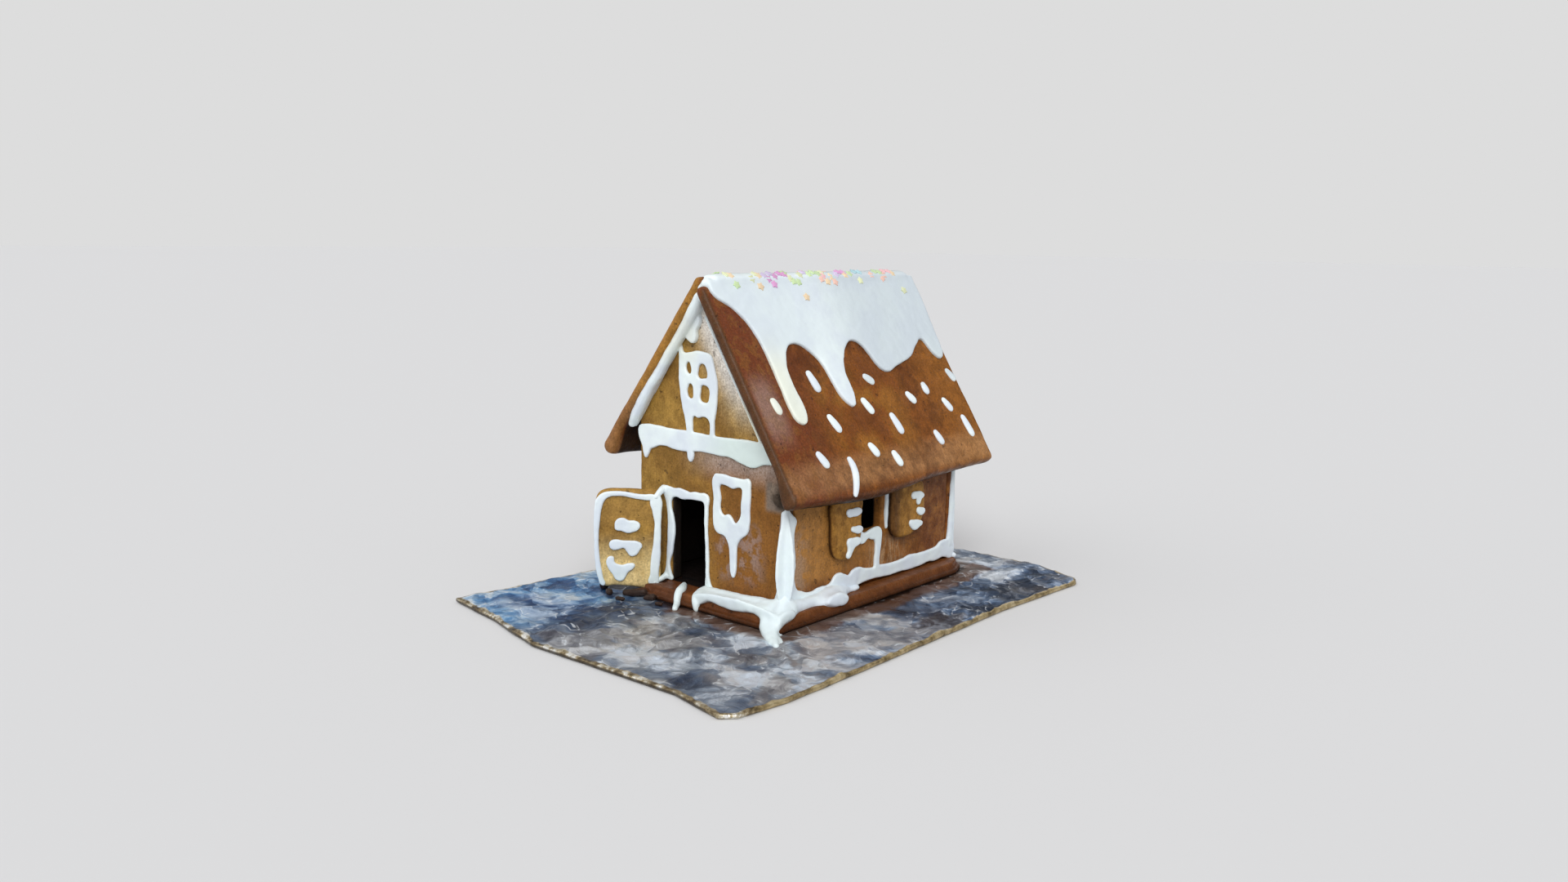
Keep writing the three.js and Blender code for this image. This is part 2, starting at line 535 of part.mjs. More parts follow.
// The open door, drawn from its hinge outwards: the leaf's corners and the icing piped on it.
const DOOR_CORNERS = [[0.5, -0.6], [36.4, 0], [40.9, 20], [40.6, 61.6], [-0.6, 60.9]];
const DOOR_PIPING = [
  [[4, 56.4, 2.1], [2, 47, 2.3], [1.9, 38, 1.9], [2.8, 20.5, 2.5], [3.8, 10, 2.6], [4.3, 2.8, 2.7]],
  [[4, 56.4, 2.1], [8, 56.8, 1.5], [14, 57.1, 1.5], [20.5, 58.4, 1.4], [27, 59, 1.3], [33.5, 58, 1.5]],
  [[33.5, 58, 1.5], [37.4, 53, 2.1], [38.6, 41, 1.7], [38.9, 28, 1.4], [38.2, 17, 1.3], [35.6, 2.4, 1.3]],
  [[25.2, 40, 2.6], [20, 39, 3.6], [16, 38.6, 2.6]],
  [[28.6, 27, 2.4], [22, 27.4, 1.9], [16.4, 25.6, 3], [13.2, 26.8, 1.3]],
  [[30.8, 17, 1.8], [28, 12, 2.6], [24.8, 7.8, 2.8]],
  [[26.4, 12.4, 2.4], [18.4, 13.2, 1.2]],
];

function doorLeaf() {
  const angle = radians(DOOR.angle);
  // The face looks to the front, so the leaf's own X runs back to the hinge.
  const toHinge = new THREE.Vector3(-Math.cos(angle), -Math.sin(angle), 0);
  const outline = roundedOutline(DOOR_CORNERS.map(([u, v]) => [-u, v]).reverse(), DOOR.round);
  const leaf = solid(cookie(outline, DOOR.thick, { edge: 2.6, steps: 2 })).translate([0, 0, -DOOR.thick]);
  return placed(leaf.add(piped(mirrored(DOOR_PIPING))), frameOf(toHinge, Z, [...DOOR.hinge, DOOR.foot]));
}

// Shutters, drawn on a side wall: outline corners and the dashes piped on each.
const NEAR_SHUTTER = {
  corners: [[34, 30], [42, 28], [57, 31], [65.6, 40], [65.4, 67], [34, 67]],
  piping: [[[52.6, 57, 2.2], [61, 57.4, 2]], [[56.4, 46, 1.6], [62.6, 46, 2]],
    [[53, 38, 2.5], [61.4, 38.6, 1.7]], [[55, 37, 2.4], [51.6, 31.4, 1.3]]],
};
const FAR_SHUTTER = {
  corners: [[99, 33], [112, 32.4], [123, 35.5], [130.4, 42], [131.6, 52], [129.4, 68], [99, 68]],
  piping: [[[118.4, 57.6, 2.2], [124.8, 57.4, 2.4]], [[122.4, 54.6, 1.6], [122.4, 53.4, 1.2]],
    [[124, 46.6, 1.8], [127.4, 46.4, 2]], [[116.8, 40.4, 2], [122.4, 38.4, 2.2]]],
};

function shutter({ corners, piping }) {
  const slab = solid(cookie(roundedOutline(corners, 4), SHUTTER.thick, { edge: 2 }));
  const drawn = piped(piping, { height: 1.4 }).translate([0, 0, SHUTTER.thick]);
  return slab.add(drawn).translate([0, 0, GAP]);
}

// The icing that holds the house on its plate and runs over the plate's edges, drawn in plan.
function baseIcing() {
  const [right, left, back] = [PLATE.right, PLATE.left, DEPTH + PLATE.back];
  const lines = [
    [[3, -7, 5], [10, -7.4, 6.2], [22, -7.6, 6.2], [38, -9.6, 7.8], [52, -9.4, 7.6], [63, -8.8, 8]],
    [[63, -8.8, 8], [67.8, 1, 5], [67.8, 12, 4], [66.2, 23, 2.4], [68, 33, 4.6], [67.6, 42, 4.4]],
    [[67.6, 42, 4.4], [66.6, 52, 2.6], [65.8, 70, 1.8], [65.6, 120, 1.7], [66, 171, 1.7]],
    [[66, 171, 1.7], [61, back - 1.2, 1.3], [-61, back - 1.2, 1.3], [-66, 171, 1.7], [-66, 10, 2.2]],
  ];
  const sheet = placed(piped(lines, { height: 2, sink: 0 }), frameOf(X, Y, [0, 0, PLATE.top + GAP]));
  const corner = bead([
    [right - 6, -12, PLATE.top - 0.4, 5], [right - 3, -PLATE.front + 2, PLATE.top - 2, 5.6],
    [right - 2.4, -PLATE.front + 0.6, 2.4, 5.2], [right + 1, -PLATE.front - 4, 1, 3.4],
  ]);
  const doorFoot = bead([
    [2, -6, PLATE.top + 0.6, 2.6], [7, -PLATE.front + 1.4, PLATE.top - 0.4, 3.2],
    [8.6, -PLATE.front - 0.4, 2.4, 2.6],
  ]);
  const lobe = bead([[70, 34, PLATE.top, 2.6], [right, 37, PLATE.top - 2.4, 2.4], [right, 40, 4.6, 1.6]]);
  const plate = solid(cookie(plateOutline(), PLATE.top - GAP, { spread: GAP })).translate([0, 0, GAP]);
  const ground = new THREE.BoxGeometry(400, 500, 20).translate(0, 0, -10 + GAP);
  return join([sheet, corner, doorFoot, lobe])
    .subtract(plate)
    .subtract(thresholdDripCut())
    .subtract(solid(ground));
}

// Keeps the base icing clear of the threshold drip.
const thresholdDripCut = () =>
  bead([[-22, -2, PLATE.top + 1, 3.4], [-12, -11, PLATE.top + 1, 3.6], [-7, -24, 3, 3.6]]);

// ---- The scene graph --------------------------------------------------------------------------------

const clearances = [
  placed(sideWallSolid(RIGHT_ROOF, RIGHT_SLOPE, GAP), RIGHT_FACE),
  placed(turnedEnds(sideWallSolid(LEFT_ROOF, LEFT_SLOPE, GAP)), LEFT_FACE),
  roofSlab(RIGHT_ROOF, RIGHT_SLOPE, GAP),
  roofSlab(LEFT_ROOF, LEFT_SLOPE, GAP),
];
const pieces = [
  ["foil_board", boardSolid(), foil],
  ["base_plate", plateSolid(), redBake],
  ["base_icing", baseIcing(), whiteIcing],
  ["front_gable", frontGable(clearances), goldenBake],
  ["back_gable", backGable(clearances), redBake],
  ["right_wall", rightWall(), redBake],
  ["left_wall", leftWall(), redBake],
  ["roof_right", rightRoof(), redBake],
  ["roof_left", leftRoof(), redBake],
  ["roof_icing", roofIcing(), whiteIcing],
  ["door_leaf", doorLeaf(), goldenBake],
  ["shutter_right_near", placed(shutter(NEAR_SHUTTER), RIGHT_FACE), goldenBake],
  ["shutter_right_far", placed(shutter(FAR_SHUTTER), RIGHT_FACE), goldenBake],
  ["shutter_left_near", placed(turnedEnds(shutter(NEAR_SHUTTER)), LEFT_FACE), goldenBake],
  ["shutter_left_far", placed(turnedEnds(shutter(FAR_SHUTTER)), LEFT_FACE), goldenBake],
];

const house = new THREE.Group();
for (const [name, body, material] of pieces) {
  const mesh = new THREE.Mesh(geometryOf(body), material());
  mesh.name = name;
  house.add(mesh);
}

const bounds = new THREE.Box3().setFromObject(house);
const middle = bounds.getCenter(new THREE.Vector3());
house.position.set(-middle.x, -middle.y, -bounds.min.z);

const part = new THREE.Group();
part.add(house);

export default part;
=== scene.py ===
import math
import random

import bpy
import numpy as np
from mathutils import Matrix, Vector, noise


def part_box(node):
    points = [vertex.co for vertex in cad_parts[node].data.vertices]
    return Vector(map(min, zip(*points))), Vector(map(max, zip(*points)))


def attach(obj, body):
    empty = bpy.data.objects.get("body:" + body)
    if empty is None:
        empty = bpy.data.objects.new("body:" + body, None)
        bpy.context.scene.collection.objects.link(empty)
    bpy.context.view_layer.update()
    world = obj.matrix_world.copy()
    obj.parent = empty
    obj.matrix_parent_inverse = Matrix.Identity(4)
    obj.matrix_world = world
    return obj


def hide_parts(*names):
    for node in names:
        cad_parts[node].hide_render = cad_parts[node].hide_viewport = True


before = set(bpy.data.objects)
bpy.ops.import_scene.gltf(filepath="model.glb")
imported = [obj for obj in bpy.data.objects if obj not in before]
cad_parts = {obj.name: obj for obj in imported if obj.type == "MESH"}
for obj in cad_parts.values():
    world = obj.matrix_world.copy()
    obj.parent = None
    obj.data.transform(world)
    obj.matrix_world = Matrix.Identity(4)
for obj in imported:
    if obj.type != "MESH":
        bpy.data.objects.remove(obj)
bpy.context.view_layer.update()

bl_info = {
    "name": "Gingerbread House",
    "version": (1, 0, 0),
    "blender": (4, 5, 0),
    "location": "View3D > Sidebar > Gingerbread House",
    "description": "Builds an iced gingerbread house on a foil-covered cake board",
    "category": "Object",
}

# ---- Where the house stands ----------------------------------------------------------------------
# Shapes are drawn in millimetres in the house frame: X to the right of the door, Y to the back and
# Z up from the foil, with zero on the foil under the middle of the front wall's outer face.

WALL_START = 8.3  # front face to the side walls' near ends
PLATE_TOP = 7.2
PLATE_STEP = 3  # top of the plate's wider lower part
FLOOR = 7.5  # foot of the walls
HALF_WIDTH = 61.3
DEPTH = 172
WALL = 8
WALL_EDGE = 1.8  # rounding of the walls' edges
RIDGE = 200
GAP = 0.3

PLATE_EDGE = [
    (72.4, -17.2), (72.4, 158), (67.4, 170), (60, 175.5), (-70, 175.5), (-70, 3), (-43, 3),
    (-38, 0.5), (-33, -6), (-36, -11.6), (-40.6, -16.6), (-38, -18.4), (-30, -16.6),
]
BOARD_EDGE = [
    (-116.6, -99.7), (-67.8, -106.7), (-17.2, -118.3), (51.7, -115.8), (90.8, -114.7),
    (127, -121.6), (133.6, -114.6), (137.5, -85), (137.5, -30), (135, 118), (139.6, 199.6),
    (135, 207.5), (103, 218.8), (41, 217.5), (-30, 220.4), (-91, 216.6), (-97.4, 203), (-107.4, 2),
    (-113, -67.7),
]

RIGHT_ROOF = {"side": 1, "pitch": 57.5, "slab": 6.8, "start": 10, "reach": 147.5,
              "front": 13.2, "back": 20.5}
LEFT_ROOF = {"side": -1, "pitch": 52.15, "slab": 6.3, "start": 4, "reach": 141.5,
             "front": 9.3, "back": 20.5}
DOORWAY = {"left": -30.5, "right": -2.2, "top": 61}
WINDOW = {"near": 66, "far": 90.8, "sill": 41, "top": 70}
DOOR = {"hinge": (-36, -6), "angle": 226, "foot": 3.5, "thick": 6.3}
SHUTTER_THICK = 4.6
SHUTTER_PIPING = 1.3
BOARD_MIDDLE = Vector((12, 48))
BOARD_GRID = (176, 236)  # faces of the foil sheet across and back
BOARD_RELIEF = 1.4  # the highest crease of the foil
FOIL_SEED = 7  # noise_vector takes its offsets from the clock unless it is seeded


def house_frame():
    """The matrix that carries millimetres in the house frame to metres in the row frame."""
    right_low, right_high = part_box("right_wall")
    left_low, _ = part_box("left_wall")
    origin = Vector((
        (right_high.x + left_low.x) / 2,
        right_low.y - WALL_START / 1000,
        right_low.z - FLOOR / 1000,
    ))
    return Matrix.Translation(origin) @ Matrix.Scale(0.001, 4)


HOUSE = house_frame()
COARSE = 1


def face_frame(across, up, origin):
    """A face to draw on: local X runs across it, local Y up it and local Z out of it."""
    across, up = Vector(across), Vector(up)
    turn = Matrix((across, up, across.cross(up))).transposed().to_4x4()
    return Matrix.Translation(Vector(origin)) @ turn


def slope_of(roof):
    """Directions of one side of the roof, and the frame of its outer face, from the eave up."""
    angle = math.radians(roof["pitch"])
    down = Vector((roof["side"] * math.cos(angle), 0, -math.sin(angle)))
    eave = Vector((0, 0, RIDGE)) + down * roof["reach"]
    return {"angle": angle, "down": down,
            "face": face_frame((0, roof["side"], 0), -down, eave)}


FRONT_FACE = face_frame((1, 0, 0), (0, 0, 1), (0, 0, 0))
BACK_FACE = face_frame((-1, 0, 0), (0, 0, 1), (0, DEPTH, 0))
RIGHT_FACE = face_frame((0, 1, 0), (0, 0, 1), (HALF_WIDTH, 0, 0))
LEFT_FACE = face_frame((0, -1, 0), (0, 0, 1), (-HALF_WIDTH, 0, 0))
RIGHT_SLOPE = slope_of(RIGHT_ROOF)
LEFT_SLOPE = slope_of(LEFT_ROOF)
ROOF_SIDES = [("right", RIGHT_ROOF, RIGHT_SLOPE), ("left", LEFT_ROOF, LEFT_SLOPE)]
WALL_SIDES = [("right", RIGHT_FACE, 1), ("left", LEFT_FACE, -1)]


def under_roof(roof, slope, distance):
    """Height of the underside of a roof slab at a distance from the middle of the house."""
    thick = (roof["slab"] + GAP) / math.cos(slope["angle"])
    return RIDGE - thick - math.tan(slope["angle"]) * distance


# ---- Drawings: piping on each face, as [across, up] outlines or [across, up, radius] lines -------

GABLE_WINDOW = [
    (-23.4, 154.4), (-21.2, 150.2), (-16, 150.4), (-10, 151.6), (-3, 151.2), (1.6, 149.9),
    (3.4, 146.6), (5.6, 140), (7.2, 134), (7.2, 126), (6.4, 119), (5.2, 113), (4.6, 106),
    (4.9, 101.6), (3.3, 99.4), (1.8, 101.4), (2, 107), (0.4, 111.8), (-3.4, 113.2), (-8.6, 112.1),
    (-12.2, 112.6), (-13.4, 107), (-13, 100), (-12.6, 92), (-12.8, 86.6), (-14.7, 84.6),
    (-16.8, 86.8), (-17.3, 93), (-17.7, 101), (-18.6, 108), (-20, 113), (-22, 119), (-23.4, 126),
    (-24.7, 138.7), (-24.4, 148),
]
GABLE_PANES = [
    [(-18.6, 139.4), (-18.2, 144), (-16, 145), (-14.4, 142.6), (-14.3, 138.4), (-16, 137.4)],
    [(-8.8, 136.4), (-8.6, 140.6), (-6.8, 144.2), (-3.4, 144.4), (-1.2, 141.4), (-0.8, 136.6),
     (-3.4, 135.6)],
    [(-17.6, 124.6), (-17.4, 130), (-15.2, 132.2), (-13, 131), (-12.3, 127), (-13, 123.4),
     (-15.6, 122.9)],
    [(-6.7, 122.6), (-6.6, 128), (-5.6, 131.6), (-2, 132), (0.8, 130.2), (1.3, 124.6),
     (-0.6, 121.6), (-3.8, 121.4)],
]
BAND = [
    (-60.4, 101), (-56, 102.8), (-44, 103.2), (-31, 102.6), (-18, 102.9), (-3, 102.4), (12, 102.2),
    (26, 102.9), (39.7, 102.8), (50, 101.6), (56.4, 99), (58.4, 95.6), (56.6, 92), (50, 91.2),
    (44, 90.2), (39, 88.2), (34, 87.6), (29, 88.6), (23.8, 90), (17, 91.6), (11, 91.4), (0, 91.8),
    (-11, 91.5), (-20, 90.4), (-29, 90.6), (-36, 91.6), (-42.7, 91.1), (-47, 89.4), (-50.2, 88),
    (-52.4, 84.6), (-54.6, 82), (-56.2, 84.4), (-57.4, 89), (-60, 94),
]
FRONT_WINDOW = [
    (5.4, 79.2), (9, 80.2), (19, 79.8), (29, 79.6), (33.4, 80), (34.4, 74), (34, 63), (33.8, 53),
    (32, 47.6), (27.6, 44.4), (24.6, 40.4), (23.6, 33), (23.4, 26), (22.6, 21), (21.3, 19.4),
    (19.8, 21.4), (18.9, 27), (18.4, 34), (17.2, 40.2), (13.6, 43.8), (8.6, 44.6), (5.8, 47.4),
    (4.8, 54), (5.1, 65),
]
FRONT_WINDOW_HOLE = [
    (10.2, 74), (14, 74.4), (20.9, 73.2), (24.6, 74.4), (27.6, 74.2), (28.4, 71), (27.6, 64),
    (27.2, 58), (25.2, 54), (22.6, 52.4), (20, 55), (17.1, 56.8), (13.6, 55.8), (10.6, 58.4),
    (10.5, 66),
]
DOOR_SURROUND = [
    (-40.3, 64), (-38, 66.2), (-34.3, 66.4), (-29, 66), (-24.6, 66.6), (-19, 65.8), (-15.3, 65.3),
    (-11, 66.2), (-7.2, 66), (-2.6, 66.4), (0.2, 65), (0, 58), (-0.5, 47), (0.2, 34), (0.8, 24),
    (1, 15), (2.8, 10.6), (4.6, 7.8), (-0.6, 7.6), (-1.2, 17), (-1.5, 26), (-1.6, 36), (-2.6, 47),
    (-2.5, 56), (-3.4, 61), (-7, 61.6), (-10.4, 61.6), (-16, 61.2), (-22.4, 60.4), (-28.4, 61),
    (-31.2, 59), (-31.9, 54), (-30.2, 48.6), (-29, 44.2), (-29, 36.4), (-30.2, 30), (-31.4, 24),
    (-33.4, 17), (-32.2, 12), (-30.6, 8), (-34.6, 7.6), (-38.6, 7.6), (-37, 12.5), (-35.6, 20),
    (-35, 30), (-34.4, 44), (-35.4, 54), (-37.6, 60.4),
]
LEFT_RAKE = [
    (-9.4, 186), (-15, 181.2), (-21, 174.2), (-27, 167), (-34, 157.4), (-40.6, 147.6), (-46, 141),
    (-52, 134.6), (-57, 128), (-62.6, 120.4), (-63, 108), (-60, 107.6), (-57.4, 112.4),
    (-52, 119.6), (-45.5, 127.8), (-38, 137.6), (-31, 147), (-26.6, 153.4), (-23.3, 159.4),
    (-18.8, 161), (-15, 157.8), (-11.4, 156.6), (-9, 159.6), (-9, 164), (-6.4, 168.6),
    (-6.6, 173.2), (-9.6, 176), (-8, 180),
]
RIGHT_RAKE = [(-2.6, 172, 1.1), (8, 155.4, 0.9), (20, 137, 0.9), (32, 118, 0.9), (41.6, 103.4, 1)]
SEAM_ON_GABLE = [
    (62, 66), (59.4, 65.6), (58.4, 60), (57.4, 52), (56.6, 44), (56.4, 37), (56.9, 30), (57, 25),
    (55.8, 18), (54, 13), (50, 9), (52, 7), (62, 7),
]
SEAM_ON_END = [
    (-0.6, 66.6), (1.6, 67), (4, 64.4), (6.2, 62.6), (9, 59.6), (8, 55), (7.3, 50.5), (8, 42),
    (8.6, 34), (7.7, 26.7), (8.4, 21.6), (11, 17.6), (14, 15.4), (14, 7.4), (-0.6, 7),
]
SIDE_BASE = [
    (6, 18), (12.5, 16.6), (18, 14.6), (24.3, 13.9), (28.6, 14.8), (32.6, 15), (38, 14.8),
    (41.3, 15.8), (44.4, 19), (49, 20.1), (54, 18.4), (58.2, 16.9), (62, 19.2), (68.6, 19.8),
    (75, 17.8), (82, 16.8), (89.5, 17), (101, 16.2), (113.8, 16.4), (121.4, 17.6), (133, 16.8),
    (145.9, 17), (152.5, 18), (156.2, 20), (163, 20.6), (169.4, 20.4), (170.4, 7.4), (160, 9.3),
    (150, 8.6), (143, 9.4), (133, 8.6), (122, 8.4), (110, 9), (100, 8.8), (91, 9.4), (81, 10.1),
    (72, 9.8), (66, 8.8), (61, 7.2), (6, 7.2),
]
WINDOW_DRIP = [
    (68.6, 41.6), (73.2, 40.5), (79.2, 41.9), (84, 42.4), (87.8, 42), (90.2, 39), (90, 33),
    (89.2, 26.9), (88.4, 19), (88.6, 14), (85, 14), (84, 20), (84.4, 28), (83.2, 34.6),
    (80.4, 35.4), (76.6, 36.6), (72, 34.6), (68, 35.4),
]
JAMB_PIPING = [(95.6, 66, 1.3), (95.2, 57, 1.7), (95.1, 48, 1.7), (95.6, 40.6, 1.2)]
REAR_SEAM = [
    (169.8, 67, 2.2), (169.2, 54, 2.6), (168.8, 40, 2.8), (168.2, 26, 3.1), (167.4, 17, 3.6),
]

SNOW_EDGE = [
    (-8.4, 6), (-7.6, 16), (4.9, 28), (11.4, 39), (14.5, 57), (14.6, 75), (14.2, 93), (15.4, 100),
    (18.6, 103.4), (22.4, 103.6), (25.4, 100), (26.6, 90), (25.6, 77), (26.8, 68), (29.6, 61.4),
    (33, 56.4), (38, 53), (42, 52.2), (46, 53), (51, 56), (56.6, 62), (60, 70), (61.5, 80),
    (63.4, 89), (66.6, 94.4), (71.2, 97.4), (75, 93), (76.4, 85), (76.6, 76), (79, 69.4),
    (83.2, 63), (89, 57), (94, 54), (98.4, 53.6), (104, 56.4), (108, 63), (110.8, 70.6), (115, 76),
    (120, 77.6), (126, 76), (133, 73.6), (142, 71.4), (151, 68.2), (158.4, 63), (164, 59.4),
    (169, 56.8), (172, 58), (174.4, 64), (177.6, 69.4), (182.4, 72.6), (186.6, 70), (188.6, 62),
    (189.8, 50), (191.6, 34), (192.4, 20), (191.4, 8),
]
SNOW_FRONT, SNOW_BACK = SNOW_EDGE[0][0], SNOW_EDGE[-1][0]
DASHES = [
    (44.5, 69.6, 46.5, 85.2), (4.4, 84, 5.6, 95.9), (45.9, 98.9, 49, 112.5),
    (95.3, 75.9, 99.2, 85.1), (83.2, 91.6, 86.2, 104.2), (129.7, 91.6, 132.6, 101.8),
    (150.5, 86.7, 150.9, 96.7), (184, 79.3, 186.8, 90.3), (164.9, 99.6, 167.8, 111.2),
    (104, 104.2, 106.1, 120.2), (140.3, 120.6, 142, 132.2), (177, 113.7, 178.6, 131),
    (71.2, 120.8, 73.4, 131.6), (22.5, 120.2, 25, 132.4), (89.7, 128.5, 91.2, 140.4),
]
DASH_RADIUS, DASH_HEIGHT = 3.1, 1.5
EAVE_DRIP = [
    (46.6, 129.5, 2), (47, 133, 2.6), (46.4, 138, 2.7), (44.2, 143, 2.5), (41.2, 147.6, 2.2),
    (38.4, 151, 1.7),
]

DOOR_EDGE = [
    (7, -1.8), (19, -0.3), (27.2, 0.5), (35.4, 0.4), (38.4, 4.4), (40.3, 15), (40.6, 30.5),
    (40.4, 44), (39.7, 54.2), (37.6, 59.2), (33, 61.4), (21.7, 61.7), (11.7, 61.2), (3, 60.8),
    (-0.6, 57), (-0.7, 40), (-0.3, 15), (1, 0), (3, -1.8),
]
DOOR_HINGE_STRIPE = [
    (5.8, 55), (4.6, 48), (3.4, 39.9), (3.7, 33), (4.2, 27), (5.3, 20.5), (6, 14), (6.3, 8),
    (7.1, 2.4), (4.4, 0.8), (1.6, 1.6), (1.4, 8), (0.3, 17.2), (0, 30), (-0.4, 45.7), (-0.5, 55.6),
    (2, 58.4),
]
DOOR_OUTER_STRIPE = [
    (39.8, 51.7), (40.4, 40), (40.4, 30.5), (40, 17.5), (38.2, 6), (36, 1.2), (34.4, 1.4),
    (35.4, 6), (36.6, 12), (37.6, 20.7), (38, 31.7), (37.2, 42), (35.8, 50.6), (34.4, 54.6),
    (31.6, 57), (25.4, 57.9), (19.2, 57), (13, 55.7), (6.1, 55.2), (2.6, 57), (5.5, 58.4),
    (9.2, 58.2), (15.5, 58.8), (21.7, 60), (29.1, 60.3), (35.3, 59.2), (38.5, 56.1),
]
DOOR_DABS = [
    [(27.8, 38.6), (27, 42.2), (23.4, 43.8), (19.3, 42), (15, 41.6), (12.6, 39.6), (13.4, 36.8),
     (17, 35), (20.4, 34.6), (24, 35.8), (27.4, 36.6)],
    [(31.2, 26.4), (30.6, 29), (27.6, 30), (23, 29.4), (18, 29.2), (14, 28.6), (11.4, 26.6),
     (12.8, 23.4), (15.4, 20.4), (18.4, 20), (20.6, 22.6), (22.4, 25), (26, 24.2), (29.4, 24)],
    [(33, 17), (31.4, 19.4), (29, 19.2), (28.2, 15.8), (24, 14), (19.4, 14.8), (16, 14), (17, 11.8),
     (20, 9.6), (21.6, 6.6), (24, 4), (27, 4.6), (29.6, 8.6), (32, 12.4)],
]
NEAR_SHUTTER = {
    "edge": [(38.2, 66), (37.4, 50), (38.2, 37), (40.6, 32), (45.6, 29), (53, 28.4), (59, 31.2),
             (63.4, 36.6), (65.6, 42), (65.4, 52), (65, 66), (50, 67)],
    "dabs": [
        [(49.8, 58.8), (55, 59.4), (61, 59), (63.4, 57), (61, 55), (55, 54.8), (50.6, 55.4)],
        [(54, 47.2), (58.6, 48), (63, 47.6), (65, 45.6), (62.8, 43.6), (57.6, 44.4)],
        [(50.6, 40.6), (56, 41.2), (61.6, 40.6), (63.8, 38.6), (61.4, 36.6), (57.6, 35.4),
         (55, 32.4), (51.8, 29.6), (50, 31), (51.4, 34.6)],
    ],
}
FAR_SHUTTER = {
    "edge": [(98, 66), (96.4, 58), (96, 46), (97.2, 38), (101.6, 33.4), (110, 32), (120, 33.6),
             (127.6, 39.2), (131, 46.6), (130.6, 56), (128.6, 66), (112, 67)],
    "dabs": [
        [(115.6, 59.4), (121, 60.2), (126.6, 59), (128.6, 56.6), (125.6, 54.6), (123.6, 51.6),
         (121.4, 52.2), (120.4, 55.6), (116.4, 56.4)],
        [(121.6, 48.6), (126, 49), (130, 47), (128.8, 44.6), (124, 44.8)],
        [(114, 41.6), (118.6, 42), (124, 41), (127.8, 38.8), (124.4, 36.6), (120, 35.4),
         (115.6, 37.6)],
    ],
}

# Broken bits of dough on the foil under the door, dark, and standing partly for the door's shadow
# there: (across, back, up, radius).
CRUMBS_IN_DOOR_SHADOW = [
    [(-69, -24, 1.6, 2.2), (-66, -26, 2.6, 3)],
    [(-58, -30, 1.2, 1.8), (-53, -33, 2, 2.4)],
    [(-46, -26, 1.6, 2.2), (-40, -24, 2.4, 2.6), (-36, -20, 3, 3)],
    [(-42, -36, 1, 1.7), (-38, -35, 1.2, 1.5)],
    [(-30, -24, 1.2, 1.6), (-26, -22, 2, 2.4)],
    [(-17, -27, 1, 1.4), (-14, -26, 1, 1.2)],
]

# The base icing. In plan, on the plate, it fills the ledge in front of the house and beside it.
BASE_PLAN = [
    (-1, 1), (1.4, -2.6), (-0.6, -6), (1.4, -11.4), (4, -16.6), (8, -17), (12, -16.2), (17, -14.6),
    (22, -15), (28, -16.4), (36, -16.8), (43.5, -16.2), (49.3, -14.5), (55, -15), (60, -16.8),
    (66, -17.4), (71.4, -16.2), (72.4, -9), (71.4, -2), (69, 4), (66.4, 10), (65.4, 16), (66, 22),
    (68.4, 26), (72, 29), (73, 32), (73, 40), (72, 44), (68, 48), (65.8, 55), (64.6, 66), (60, 68),
    (56, 40), (56, 4), (30, 3.4),
]
# Where it spills over the plate's edges: [along, up] on the plate's front and right faces.
PLATE_FRONT, PLATE_SIDE = -17.2, 72.4
FRONT_SPILL = [
    (3, 8.8), (4.4, 6.4), (8, 4.6), (10.4, 3.9), (13, 5.4), (16.8, 7.6), (22, 7.6), (27.2, 6.5),
    (35.4, 6.1), (43.5, 7), (50, 7.9), (55, 7.4), (58.6, 6), (60, 4), (61.6, 2.8), (73, 2.8),
    (73.4, 8.8),
]
SIDE_SPILLS = [
    [(-17.8, 8.6), (-17.6, 2.8), (-14.6, 3.2), (-12.8, 5), (-8, 6.6), (-3, 8.6)],
    [(25, 8.6), (27.6, 6.8), (30.7, 5.8), (36, 4.8), (41, 4), (44, 5.2), (45.6, 8.6)],
]
